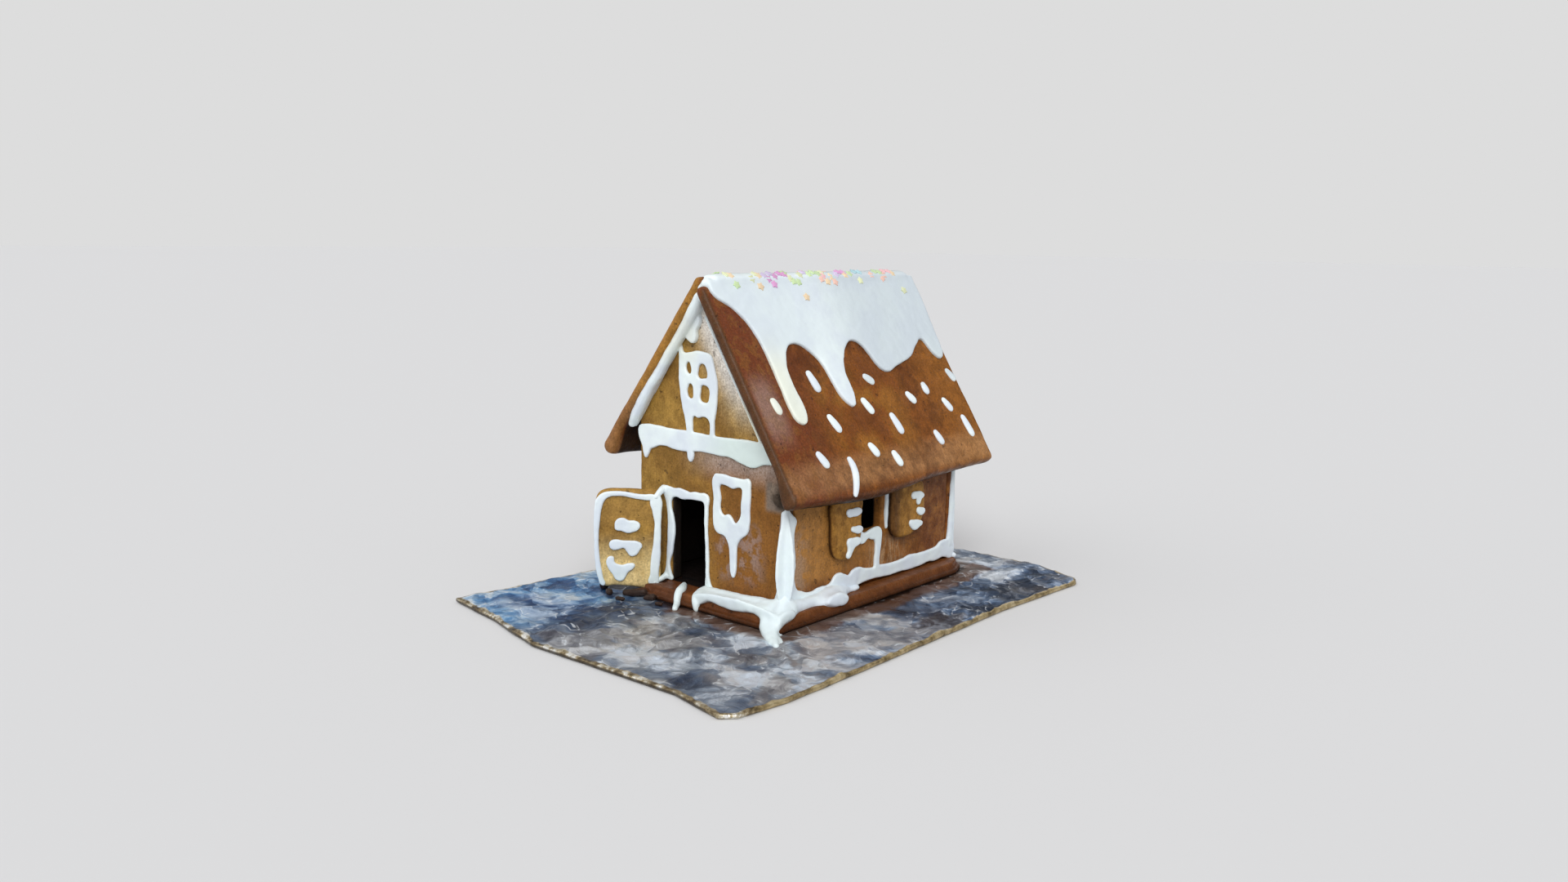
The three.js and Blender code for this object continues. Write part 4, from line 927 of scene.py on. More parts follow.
# Painted shade: near black on the slabs' undersides.
PAINTED_SHADE_UNDER_SLAB = (0.012, 0.008, 0.006)
ICING_TINTS = {
    "creamy drips in front": ("icing_cream", 0.85, ("back", 40, 18), ("up", 178, 150),
                              ("up", 100, 106), ("across", 20, 34)),
    "greenish band": ((0.7, 0.82, 0.76), 0.8, GABLE_PIPING, ("across", -16, 22), ("up", 84, 87),
                      ("up", 106, 100)),
    "creamy rake": ("icing_cream", 0.6, GABLE_PIPING, ("across", -4, -14), ("up", 136, 156)),
    "cool foot": ((0.7, 0.81, 0.8), 0.6, ("back", 6, 0), ("up", 20, 8)),
    # Painted shade: greyer snow behind the drips.
    "painted grey shade behind the drips": ((0.55, 0.62, 0.66), 0.7, ("back", 56, 120), ("up", 120, 132)),
    "cool snow in front": ((0.68, 0.76, 0.8), 0.65, ("back", 92, 46), ("up", 140, 160),
                           ("across", 2, 8)),
    # Painted shade along the top of the ridge.
    "painted shade along the ridge": ((0.5, 0.54, 0.5), 0.75, ("up", 195, 199)),
    "bare slit in the corner seam": ((0.2, 0.09, 0.06), 0.8, ("back", 1, 0.4),
                                     ("across", 57.3, 57.9), ("across", 59.6, 59), ("up", 50, 53),
                                     ("up", 64.4, 63)),
}
RAKE_SLOPE = 1.57  # how much lower the right roof slab is for each millimetre to the right


def golden_finish(groups, colours):
    """Front wall, door and shutters: golden, browner to the right, floury by the rake."""
    dough = Dough("Golden gingerbread", groups, colours, colours.golden, colours.golden_deep)
    dough.rake = dough.maths("ADD", dough.up, dough.maths("MULTIPLY", dough.across, RAKE_SLOPE))
    dough.tints(GOLDEN_TINTS)
    dough.crumbs(1.15)
    dough.paint_shade_inside()
    return dough.glazed(roughness=0.5, coat=0.04)


def red_finish(groups, colours):
    """Side walls, back wall and plate: golden by the corner, redder behind, with painted shade at
    the foot.
    """
    dough = Dough("Red gingerbread", groups, colours, colours.red, colours.red_deep)
    dough.tints(RED_TINTS)
    dough.crumbs(1.25)
    dough.paint_shade_inside()
    return dough.glazed(roughness=0.42, coat=0.08)


def slope_depth(dough, roof, slope):
    """Millimetres under the outer face of one side of the roof."""
    side = dough.maths("MULTIPLY", dough.across, -roof["side"] * math.sin(slope["angle"]))
    fallen = dough.maths("SUBTRACT", RIDGE, dough.up)
    return dough.maths("ADD", side, dough.maths("MULTIPLY", fallen, math.cos(slope["angle"])))


def roof_finish(groups, colours):
    """Roof slabs: dark and red in front, golden at the rear, with a painted pale sheen over the
    eave and painted shade under the eave and the slabs.
    """
    dough = Dough("Roof gingerbread", groups, colours, colours.roof, colours.roof_deep)
    dough.tints(ROOF_TINTS)
    # Paints shade on each slab's underside.
    for _, roof, slope in ROOF_SIDES:
        depth, thick = slope_depth(dough, roof, slope), roof["slab"]
        dough.tint(PAINTED_SHADE_UNDER_SLAB, 0.9, (depth, thick - 1.6, thick - 0.6),
                   ("across", 0, roof["side"] * 3), ("back", -5, -2.5))
    dough.crumbs(1.3)
    return dough.glazed(roughness=0.38, coat=0.1)


def icing_finish(groups, colours):
    """Royal icing: bluish white, with creamy and lilac tints where it is thick or thin, and painted
    shade behind the drips and along the ridge.
    """
    icing = Finish("Royal icing", groups, colours)
    crumb = used_group(icing.tree, groups["crumb"], Vector=icing.place, Mottle_Size=24.0,
                       Speckle_Size=5.0).outputs
    icing.mottled(crumb, colours.icing, colours.icing_cool)
    icing.tints(ICING_TINTS)
    icing.tree.links.new(icing.colour, icing.shader.inputs["Base Color"])
    icing.shader.inputs["Roughness"].default_value = 0.4
    icing.shader.inputs["Specular IOR Level"].default_value = 0.35
    bumped(icing.tree, icing.shader, crumb["Blotch"], 0.0006)
    return icing.material


def ramp(tree, value, *stops):
    """A soft colour ramp through (position, colour) stops."""
    node = add(tree, "ShaderNodeValToRGB", {0: value})
    node.color_ramp.interpolation = "B_SPLINE"
    points = node.color_ramp.elements
    while len(points) < len(stops):
        points.new(0.5)
    for point, (at, colour) in zip(points, stops):
        point.position, point.color = at, (*colour, 1)
    return node.outputs[0]


def foil_group():
    """Crumpled foil: painted light and dark reflections on folds in facets, their hue, thin painted
    glints, rim and height.
    """
    names = ("Fold", "Hue", "Glint", "Rim", "Height")
    group, start, end = group_of(
        "Foil Creases",
        [("Vector", "NodeSocketVector", None), ("Size", "NodeSocketFloat", 15.0)],
        [(name, "NodeSocketFloat") for name in names],
    )
    place = millimetres(group, start.outputs["Vector"])
    size = start.outputs["Size"]

    def sized(factor):
        return maths(group, "MULTIPLY", size, factor)

    swirl = add(group, "ShaderNodeTexNoise", {"Vector": place, "Scale": 0.05, "Detail": 2.0})
    bent = add(group, "ShaderNodeVectorMath",
               {0: swirl.outputs["Color"], 1: (26, 26, 26), 2: place},
               operation="MULTIPLY_ADD").outputs[0]
    scale = maths(group, "DIVIDE", 1.0, size)
    facet = add(group, "ShaderNodeTexVoronoi", {"Vector": bent, "Scale": scale})
    crease = add(group, "ShaderNodeTexVoronoi", {"Vector": bent, "Scale": scale},
                 feature="DISTANCE_TO_EDGE")
    broad = noise_of(group, bent, sized(3.2), 3.0, 0.5)
    small = noise_of(group, place, sized(1.1), 5.0, 0.65, None, 1.2)
    tone = maths(group, "MULTIPLY", facet.outputs["Color"], 0.1)
    fold = maths(group, "ADD", maths(group, "MULTIPLY", broad, 0.6), tone)
    fold = maths(group, "ADD", fold, maths(group, "MULTIPLY", small, 0.3))
    hue = noise_of(group, bent, sized(2.6), 2.0, 0.5)
    line = maths(group, "SUBTRACT", 1.0, span(group, crease.outputs[0], 0.0, 0.09))
    glint = maths(group, "MULTIPLY", line, span(group, small, 0.46, 0.6))
    rim = noise_of(group, place, sized(0.55), 4.0, 0.65)
    height = maths(group, "ADD", facet.outputs["Distance"], small)
    for value, label in zip((fold, hue, glint, rim, height), names):
        group.links.new(value, end.inputs[label])
    return group


# Painted reflections along the folds and rim of the foil, from dark to light, as (position, colour)
# stops.
FOIL_REFLECTION_RAMPS = {
    "grey": ((0.4, (0.02, 0.03, 0.06)), (0.455, (0.08, 0.115, 0.19)), (0.5, (0.165, 0.21, 0.29)),
             (0.545, (0.29, 0.345, 0.43)), (0.59, (0.82, 0.9, 1))),
    "blue": ((0.4, (0.015, 0.045, 0.14)), (0.455, (0.05, 0.17, 0.4)), (0.5, (0.18, 0.4, 0.68)),
             (0.545, (0.55, 0.73, 0.9)), (0.6, (0.92, 0.98, 1))),
    "dark": ((0.41, (0.012, 0.02, 0.04)), (0.475, (0.07, 0.12, 0.22)), (0.52, (0.22, 0.31, 0.46)),
             (0.56, (0.42, 0.5, 0.62)), (0.61, (0.9, 0.95, 1))),
    "tan": ((0.41, (0.08, 0.06, 0.05)), (0.5, (0.26, 0.21, 0.17)), (0.6, (0.7, 0.64, 0.57))),
    "glinting rim": ((0.36, (0.03, 0.022, 0.015)), (0.46, (0.25, 0.18, 0.09)),
                     (0.54, (0.5, 0.42, 0.26)), (0.62, (0.95, 0.95, 0.92))),
    "golden rim": ((0.36, (0.1, 0.07, 0.025)), (0.5, (0.42, 0.31, 0.14)), (0.66, (0.6, 0.5, 0.3))),
}
FOIL_TINTS = {
    # Painted highlight: a pale streak on the foil's left.
    "painted highlight streak on the left": ((0.62, 0.7, 0.82), 0.6, ("across", -98, -84), ("across", -34, -50),
                                 ("back", -98, -88), ("back", -50, -64), ("fold", 0.42, 0.5)),
    "brown reflection of the house": ((0.17, 0.075, 0.03), 0.85, ("apart", 17, 11),
                                      ("across", -12, -2)),
    "shade by the plate": ((0.02, 0.012, 0.01), 0.9, ("apart", 4, 1)),
    "glints": ((0.9, 0.95, 1.0), 0.6, ("glint", 0.3, 1.0)),
}
# Painted shade on the lower side of the board's rim.
PAINTED_SHADE_ON_FOIL_RIM = ((0.05, 0.036, 0.022), 0.9, ("up", -1, -1.9), ("across", 126, 112))
REFLECTION_RAGGED = 30.0  # how far the folds move the edge of the house's reflection


def foil_finish(groups, colours):
    """Crumpled foil with painted reflections: blue to the left, grey in front, dark blue and brown
    beside the house.
    """
    foil = Finish("Crumpled foil", groups, colours)
    tree, shader = foil.tree, foil.shader
    crease = used_group(tree, groups["foil"], Vector=foil.place).outputs
    foil.fold, foil.glint, rim = crease["Fold"], crease["Glint"], crease["Rim"]
    grey, blue, dark, tan = (ramp(tree, foil.fold, *FOIL_REFLECTION_RAMPS[k])
                             for k in ("grey", "blue", "dark", "tan"))
    colour = mix(tree, foil.mask(("across", -20, -62)), grey, blue)
    colour = mix(tree, foil.mask(("across", 66, 84), ("back", -50, 0)), colour, dark)
    warm = foil.mask((crease["Hue"], 0.52, 0.6), ("across", -80, -40))
    foil.colour = mix(tree, foil.maths("MULTIPLY", warm, 0.45), colour, tan)
    beside = foil.maths("SUBTRACT", maths(tree, "ABSOLUTE", foil.across), 73)
    before = foil.maths("SUBTRACT", -17.6, foil.back)
    behind = foil.maths("SUBTRACT", foil.back, 176)
    apart = foil.maths("MAXIMUM", foil.maths("MAXIMUM", beside, before), behind)
    ragged = foil.maths("MULTIPLY", foil.maths("SUBTRACT", foil.fold, 0.5), REFLECTION_RAGGED)
    foil.apart = foil.maths("ADD", apart, ragged)
    foil.tints(FOIL_TINTS)
    glinting, golden = (ramp(tree, rim, *FOIL_REFLECTION_RAMPS[k]) for k in ("glinting rim", "golden rim"))
    gilt = mix(tree, foil.mask(("across", 108, 122), ("back", -112, -96)), glinting, golden)
    border = add(tree, "ShaderNodeAttribute", attribute_name="border").outputs["Fac"]
    border = foil.maths("ADD", border, foil.maths("MULTIPLY", rim, 0.5))
    foil.colour = mix(tree, foil.mask((border, 0.92, 1.04)), foil.colour, gilt)
    foil.tint(*PAINTED_SHADE_ON_FOIL_RIM)
    tree.links.new(foil.colour, shader.inputs["Base Color"])
    shader.inputs["Metallic"].default_value = 0.6
    shader.inputs["Roughness"].default_value = 0.3
    bumped(tree, shader, crease["Height"], 0.0016, 0.9)
    return foil.material


def sprinkle_finish():
    material, tree, shader, _ = new_material("Sugar sprinkles")
    colour = add(tree, "ShaderNodeAttribute", attribute_name="sugar").outputs["Color"]
    tree.links.new(colour, shader.inputs["Base Color"])
    shader.inputs["Roughness"].default_value = 0.45
    return material


FINISH = {}


def make_finishes(colours):
    groups = {"crumb": crumb_group(), "place": place_group(), "foil": foil_group()}
    FINISH["golden"] = golden_finish(groups, colours)
    FINISH["red"] = red_finish(groups, colours)
    FINISH["roof"] = roof_finish(groups, colours)
    FINISH["icing"] = icing_finish(groups, colours)
    FINISH["foil"] = foil_finish(groups, colours)
    FINISH["sprinkles"] = sprinkle_finish()


# ---- Sizes and colours ---------------------------------------------------------------------------


class HouseSizes(bpy.types.PropertyGroup):
    icing: bpy.props.FloatProperty(
        name="Piping height", description="Height of a piped line of icing, in millimetres",
        default=1.6, min=0.5, max=4,
    )
    snow: bpy.props.FloatProperty(
        name="Ridge icing height",
        description="Thickness of the icing over the ridge, in millimetres",
        default=1.8, min=0.5, max=4,
    )
    ridge_round: bpy.props.FloatProperty(
        name="Ridge rounding", description="Rounding of the icing over the ridge, in millimetres",
        default=8, min=2, max=20,
    )
    sprinkle: bpy.props.FloatProperty(
        name="Sprinkle size", description="Half the width of a star sprinkle, in millimetres",
        default=3, min=0.5, max=5,
    )


def colour_property(name, description, default):
    return bpy.props.FloatVectorProperty(
        name=name, description=description, subtype="COLOR", default=default, min=0, max=1,
    )


class HouseColours(bpy.types.PropertyGroup):
    golden: colour_property("Golden gingerbread", "Pale bake of the front wall, door and shutters",
                            (0.36, 0.205, 0.044))
    golden_deep: colour_property("Golden gingerbread, deep", "Darker patches of the golden bake",
                                 (0.25, 0.13, 0.028))
    golden_warm: colour_property("Golden gingerbread, warm", "Browner bake right of the doorway",
                                 (0.225, 0.088, 0.018))
    flour: colour_property("Flour", "Flour left on the gable beside the roof", (0.56, 0.44, 0.25))
    red: colour_property("Red gingerbread", "Bake of the side walls, back wall and plate",
                         (0.26, 0.1, 0.02))
    red_deep: colour_property("Red gingerbread, deep", "Darker patches of the red bake",
                              (0.17, 0.058, 0.013))
    roof: colour_property("Roof", "Bake of the roof slabs", (0.22, 0.07, 0.01))
    roof_deep: colour_property("Roof, deep", "Darker patches of the roof", (0.125, 0.036, 0.006))
    roof_front: colour_property("Roof, front", "Darker, redder bake near the roof's front end",
                                (0.145, 0.036, 0.012))
    icing: colour_property("Icing", "White royal icing", (0.85, 0.94, 0.94))
    icing_cool: colour_property("Icing, cool", "Lilac tint of thin icing", (0.76, 0.83, 0.89))
    icing_cream: colour_property("Icing, cream", "Creamy tint of thick icing", (0.84, 0.87, 0.74))


def sizes():
    return bpy.context.scene.gingerbread_sizes


# ---- Operators -----------------------------------------------------------------------------------


class BuildStep(bpy.types.Operator):
    bl_options = {"REGISTER", "UNDO"}

    def execute(self, context):
        self.build(context)
        return {"FINISHED"}


def foil_height(x, y):
    """Height of the crumpled foil over the board's face, in millimetres."""
    warp = noise.noise_vector(Vector((x, y, 0)) * 0.022)
    at = Vector((x, y, 0)) + 16 * warp
    swell = noise.noise(at * 0.028)
    fold = 1 - abs(noise.noise(at * 0.05 + Vector((7, 3, 1)))) * 3.2
    crease = 1 - abs(noise.noise(at * 0.12 + Vector((2, 9, 4)))) * 3.2
    return 1.5 * swell + 1.2 * fold + 0.5 * crease - 0.9


def foil_relief(x, y):
    """The same, faded out where the house stands."""
    dx, dy = max(abs(x) - 76, 0), max(-22 - y, y - DEPTH - 8, 0)
    away = min(math.hypot(dx, dy) / 14, 1)
    return min(max(foil_height(x, y) * away * away * (3 - 2 * away), -0.9), BOARD_RELIEF)


def along(points):
    """A function from 0..1 to the place that far along a line of points."""
    places = [Vector(p) for p in points]
    marks = [0.0]
    for a, b in zip(places, places[1:]):
        marks.append(marks[-1] + (b - a).length)

    def at(share):
        mark = share * marks[-1]
        i = min(max(np.searchsorted(marks, mark) - 1, 0), len(places) - 2)
        return places[i].lerp(places[i + 1], (mark - marks[i]) / (marks[i + 1] - marks[i]))

    return at


class GINGERBREAD_OT_board(BuildStep):
    """Builds the cake board in its crumpled foil"""
    bl_idname = "gingerbread.board"
    bl_label = "Foil Board"

    def build(self, context):
        columns, rows = (round(count / COARSE) for count in BOARD_GRID)
        deselect()
        bpy.ops.mesh.primitive_grid_add(x_subdivisions=columns, y_subdivisions=rows, size=1)
        board = bpy.context.object
        board.name = "foil_sheet"
        border = board.data.attributes.new("border", "FLOAT", "POINT")
        front, right = along(BOARD_EDGE[0:7]), along(BOARD_EDGE[6:11])
        rear = along(BOARD_EDGE[10:16][::-1])
        left = along([*BOARD_EDGE[15:], BOARD_EDGE[0]][::-1])
        corners = [front(0), front(1), rear(0), rear(1)]
        noise.seed_set(FOIL_SEED)
        for vertex in board.data.vertices:
            u, v = vertex.co.x + 0.5, vertex.co.y + 0.5
            place = front(u) * (1 - v) + rear(u) * v + left(v) * (1 - u) + right(v) * u
            place -= (corners[0] * (1 - u) + corners[1] * u) * (1 - v)
            place -= (corners[2] * (1 - u) + corners[3] * u) * v
            inwards = min(min(u, 1 - u) * 240, min(v, 1 - v) * 320)
            border.data[vertex.index].value = max(1 - inwards / 8, 0)
            rim = min(inwards, 3) / 3
            height = foil_relief(*place) * (0.4 + 0.6 * rim) - 0.7 * (1 - rim) ** 2
            vertex.co = (place.x, place.y, height)
        self.folded_edge(board)
        finished(board, FINISH["foil"], "board_foil", "foil_board")

    def folded_edge(self, board):
        """Extrudes the rim round the board's edge, uneven as hand-folded foil is, and closes it."""
        bpy.ops.object.mode_set(mode="EDIT")
        bpy.ops.mesh.select_mode(type="EDGE")
        bpy.ops.mesh.select_all(action="DESELECT")
        bpy.ops.mesh.select_non_manifold()
        for name in ("out", "down", "in"):
            bpy.ops.mesh.extrude_edges_move()
            bpy.ops.object.mode_set(mode="OBJECT")
            for vertex in board.data.vertices:
                if not vertex.select:
                    continue
                x, y, z = vertex.co
                outwards = (Vector((x, y)) - BOARD_MIDDLE).normalized()
                wobble = noise.noise(Vector((x * 0.06, y * 0.06, 3)))
                if name == "out":
                    move, height = 0.5 + 0.3 * wobble, z - 0.7
                elif name == "down":
                    move, height = 0.5 * wobble, -2.5 + 0.5 * wobble
                else:
                    move, height = -1.0, -3.4
                vertex.co = (x + move * outwards.x, y + move * outwards.y, height)
            bpy.ops.object.mode_set(mode="EDIT")
        bpy.ops.mesh.edge_face_add()
        bpy.ops.mesh.select_all(action="SELECT")
        bpy.ops.mesh.normals_make_consistent(inside=False)
        bpy.ops.object.mode_set(mode="OBJECT")


class GINGERBREAD_OT_plate(BuildStep):
    """Builds the gingerbread plate under the house"""
    bl_idname = "gingerbread.plate"
    bl_label = "Base Plate"

    def build(self, context):
        upper = slab(PLATE_EDGE, PLATE_STEP - 0.4, PLATE_TOP, 1, smooth=False, wider=-1)
        lower = slab(PLATE_EDGE, -0.4, PLATE_STEP, 0.8, smooth=False, wider=2)
        # Dark crumbs under the door, standing partly for its shadow on the foil.
        crumbs = [bead(line) for line in CRUMBS_IN_DOOR_SHADOW]
        plate = joined("plate_slab", [upper, lower, *crumbs])
        baked(plate, rounding=2, dents=0.5, fine=0.6, kept=0.4)
        finished(plate, FINISH["red"], "dark_gingerbread", "base_plate")


def gable_edge():
    """The outline of a gable wall, close under both roof slabs, without its doorway."""
    (right, top_right), (left, top_left) = (
        [under_roof(roof, slope, x) for x in (HALF_WIDTH, 0)] for _, roof, slope in ROOF_SIDES
    )
    rise = math.tan(LEFT_SLOPE["angle"])
    apex = (top_right - top_left) / (rise + math.tan(RIGHT_SLOPE["angle"]))
    return [(HALF_WIDTH, FLOOR), (HALF_WIDTH, right), (apex, top_left + rise * apex),
            (-HALF_WIDTH, left), (-HALF_WIDTH, FLOOR)]


class GINGERBREAD_OT_gables(BuildStep):
    """Builds the front wall with its doorway, and the back wall"""
    bl_idname = "gingerbread.gables"
    bl_label = "Gable Walls"

    def build(self, context):
        left, right, top = DOORWAY["left"], DOORWAY["right"], DOORWAY["top"]
        doorway = [(left, FLOOR), (left, top), (right, top), (right, FLOOR)]
        front = slab(gable_edge() + doorway, -WALL, 0, WALL_EDGE, smooth=False)
        front = joined("front_wall", [placed(front, FRONT_FACE), bead(KNOB)])
        baked(front, rounding=6, dents=0.5)
        finished(front, FINISH["golden"], "golden_gingerbread", "front_gable")
        back = slab(turned(gable_edge()), -WALL, 0, WALL_EDGE, smooth=False)
        baked(placed(back, BACK_FACE), voxel=1.1, rounding=5, dents=0.5)
        back.name = "back_wall"
        finished(back, FINISH["red"], "dark_gingerbread", "back_gable")


class GINGERBREAD_OT_side_walls(BuildStep):
    """Builds the two side walls with their windows"""
    bl_idname = "gingerbread.side_walls"
    bl_label = "Side Walls"

    def build(self, context):
        for (name, roof, slope), (_, face, turn) in zip(ROOF_SIDES, WALL_SIDES):
            top = under_roof(roof, slope, HALF_WIDTH) - GAP
            edge = rectangle(WALL_START, FLOOR, DEPTH - WALL_START, top)
            hole = rectangle(WINDOW["near"], WINDOW["sill"], WINDOW["far"], WINDOW["top"])
            wall = slab(turned(edge, turn), -WALL, 0, WALL_EDGE, [turned(hole, turn)], smooth=False)
            baked(placed(wall, face), rounding=6, dents=0.5)
            wall.name = f"{name}_side_slab"
            finished(wall, FINISH["red"], "dark_gingerbread", f"{name}_wall")


class GINGERBREAD_OT_roof(BuildStep):
    """Builds the two roof slabs"""
    bl_idname = "gingerbread.roof"
    bl_label = "Roof Slabs"

    def build(self, context):
        for name, roof, slope in ROOF_SIDES:
            side = roof["side"]
            ends = sorted((-roof["front"] * side, (DEPTH + roof["back"]) * side))
            edge = rectangle(ends[0], 0, ends[1], roof["reach"] - roof["start"])
            piece = slab(edge, -roof["slab"], 0, 2.8, smooth=False)
            applied(piece, "REMESH", mode="VOXEL", voxel_size=1.1 * COARSE)
            self.swell_eave(piece, side)
            placed(piece, slope["face"])
            baked(piece, voxel=1.1, rounding=8, dents=1.0, fine=0.4)
            piece.name = f"{name}_roof_slab"
            finished(piece, FINISH["roof"], "dark_gingerbread", f"roof_{name}")

    def swell_eave(self, piece, side):
        """Thickens the lower edge, where the dough rose most."""
        for vertex in piece.data.vertices:
            x, up, z = vertex.co
            near = min(max(1 - (up - 3) / 18, 0), 1)
            near = near * near * (3 - 2 * near)
            depth = min(max(-z / 6.5, 0), 1)
            sag = math.exp(-(((x * side - 62) / 56) ** 2))
            vertex.co.z = z - near * depth * (4.4 + 1.4 * sag + 0.5 * math.sin(x * 0.06))
            vertex.co.y = up - near * (1 + 5.2 * sag)


class GINGERBREAD_OT_door(BuildStep):
    """Builds the open door with its piping"""
    bl_idname = "gingerbread.door"
    bl_label = "Door"

    def build(self, context):
        angle = math.radians(DOOR["angle"])
        face = face_frame((-math.cos(angle), -math.sin(angle), 0), (0, 0, 1),
                          (*DOOR["hinge"], DOOR["foot"]))
        leaf = placed(slab(turned(DOOR_EDGE), -DOOR["thick"], 0, 2.4), face)
        baked(leaf, voxel=0.7, rounding=6, dents=0.4, fine=0.3)
        leaf.name = "door_slab"
        finished(leaf, FINISH["golden"], "golden_gingerbread", "door_leaf")
        lines = [DOOR_HINGE_STRIPE, DOOR_OUTER_STRIPE, *DOOR_DABS]
        piping = joined("door_piping", [dab(turned(line), sizes().icing) for line in lines])
        set_hard(placed(piping, face), voxel=0.4)
        finished(piping, FINISH["icing"], "icing", "door_leaf")


class GINGERBREAD_OT_shutters(BuildStep):
    """Builds the four window shutters with their piping"""
    bl_idname = "gingerbread.shutters"
    bl_label = "Shutters"

    def build(self, context):
        for side, face, turn in WALL_SIDES:
            for place, shutter in (("near", NEAR_SHUTTER), ("far", FAR_SHUTTER)):
                edge = turned(shutter["edge"], turn)
                piece = placed(slab(edge, GAP, GAP + SHUTTER_THICK, 2), face)
                baked(piece, voxel=0.7, rounding=5, dents=0.4, fine=0.3)
                piece.name = f"{side}_{place}_shutter_slab"
                node = f"shutter_{side}_{place}"
                finished(piece, FINISH["golden"], "golden_gingerbread", node)
                dabs = [dab(turned(outline, turn), SHUTTER_PIPING) for outline in shutter["dabs"]]
                piping = joined(f"{side}_{place}_shutter_piping", dabs)
                placed(piping, face @ Matrix.Translation((0, 0, GAP + SHUTTER_THICK)))
                set_hard(piping, voxel=0.4)
                finished(piping, FINISH["icing"], "icing", node)


def corner_seam(height, turn=1):
    """The icing over a front corner: on the gable, on its end and a bead round the edge.

    The one at the left corner is mirrored and a little lower.
    """
    front, end, face = SEAM_ON_GABLE, SEAM_ON_END, RIGHT_FACE
    if turn < 0:
        front, end = ([(-x, z * LEFT_SEAM_SHARE) for x, z in line] for line in (front, end))
        face = LEFT_FACE
    edge = HALF_WIDTH - 2.3
    top = 63 if turn > 0 else 54
    line = [(turn * edge, 2.4, z, r) for z, r in ((top, 2.7), *SEAM_BEAD)]
    return [placed(dab(front, height), FRONT_FACE), placed(dab(end, height), face), bead(line)]


class GINGERBREAD_OT_gable_icing(BuildStep):
    """Pipes the icing on both gables"""
    bl_idname = "gingerbread.gable_icing"
    bl_label = "Gable Icing"

    def build(self, context):
        height = sizes().icing
        drawn = [dab(GABLE_WINDOW, height, GABLE_PANES), dab(BAND, height),
                 dab(FRONT_WINDOW, height, [FRONT_WINDOW_HOLE]), dab(DOOR_SURROUND, height),
                 dab(LEFT_RAKE, height * 2), piped_line(RIGHT_RAKE, 1.2)]
        drawn = [placed(piece, FRONT_FACE) for piece in drawn]
        drawn += [bead(line) for line in DOOR_JOINTS]
        drawn += self.rake_icing()
        seams = joined("corner_seams", corner_seam(height) + corner_seam(height, -1))
        set_hard(seams, **MELTED)
        icing = joined("front_wall_piping", drawn)
        set_hard(icing, voxel=0.48, rounding=5, kept=0.7)
        icing = joined("front_wall_icing", [icing, seams])
        finished(icing, FINISH["icing"], "icing", "front_gable")

        window, hole = ([(u - 20, v) for u, v in outline]
                        for outline in (FRONT_WINDOW, FRONT_WINDOW_HOLE))
        rear = [dab(GABLE_WINDOW, height, GABLE_PANES), dab(turned(BAND), height),
                dab(window, height, [hole])]
        rear = [placed(piece, BACK_FACE) for piece in rear]
        for side in (1, -1):
            edge = side * (HALF_WIDTH - 1.4)
            rear.append(bead([(edge, DEPTH - 1.4, z, r) for z, r in REAR_BEAD]))
        icing = joined("back_wall_icing", rear)
        set_hard(icing, voxel=0.6, rounding=5)
        finished(icing, FINISH["icing"], "icing", "back_gable")

    def rake_icing(self):
        """Icing under the left slab's overhang and in its corner with the gable."""
        front = [(x, y, under_roof(LEFT_ROOF, LEFT_SLOPE, abs(x)) - below, r)
                 for x, y, below, r in RAKE_ICING]
        middle = [(x, y + 2, z, r * 0.9) for x, y, z, r in front[2:]]
        corner = [(x, -0.8, z + 0.4, r * (0.62 + 0.2 * (i % 2)))
                  for i, (x, _, z, r) in enumerate(front[2:])]
        return [bead(front), bead(middle), bead(corner)]


class GINGERBREAD_OT_side_icing(BuildStep):
    """Pipes the icing on the side walls and under their windows"""
    bl_idname = "gingerbread.side_icing"
    bl_label = "Side Icing"

    def build(self, context):
        height = sizes().icing
        for name, face, turn in WALL_SIDES:
            drawn = [dab(turned(outline, turn), height) for outline in (SIDE_BASE, WINDOW_DRIP)]
            drawn += [piped_line(turned(line, turn), height) for line in (JAMB_PIPING, REAR_SEAM)]
            icing = placed(joined(f"{name}_side_icing", drawn), face)
            set_hard(icing, voxel=0.5, rounding=5)
            finished(icing, FINISH["icing"], "icing", f"{name}_wall")


def mirrored(y):
    """Where a place on the right slab comes on the left one, counted from its other end."""
    return SNOW_FRONT + SNOW_BACK - y


def ridge_rounding():
    """Half the angle between the slabs, and how far down each the ridge's rounding reaches."""
    half = math.pi / 2 - (LEFT_SLOPE["angle"] + RIGHT_SLOPE["angle"]) / 2
    return half, (sizes().ridge_round - sizes().snow - GAP) / math.tan(half)


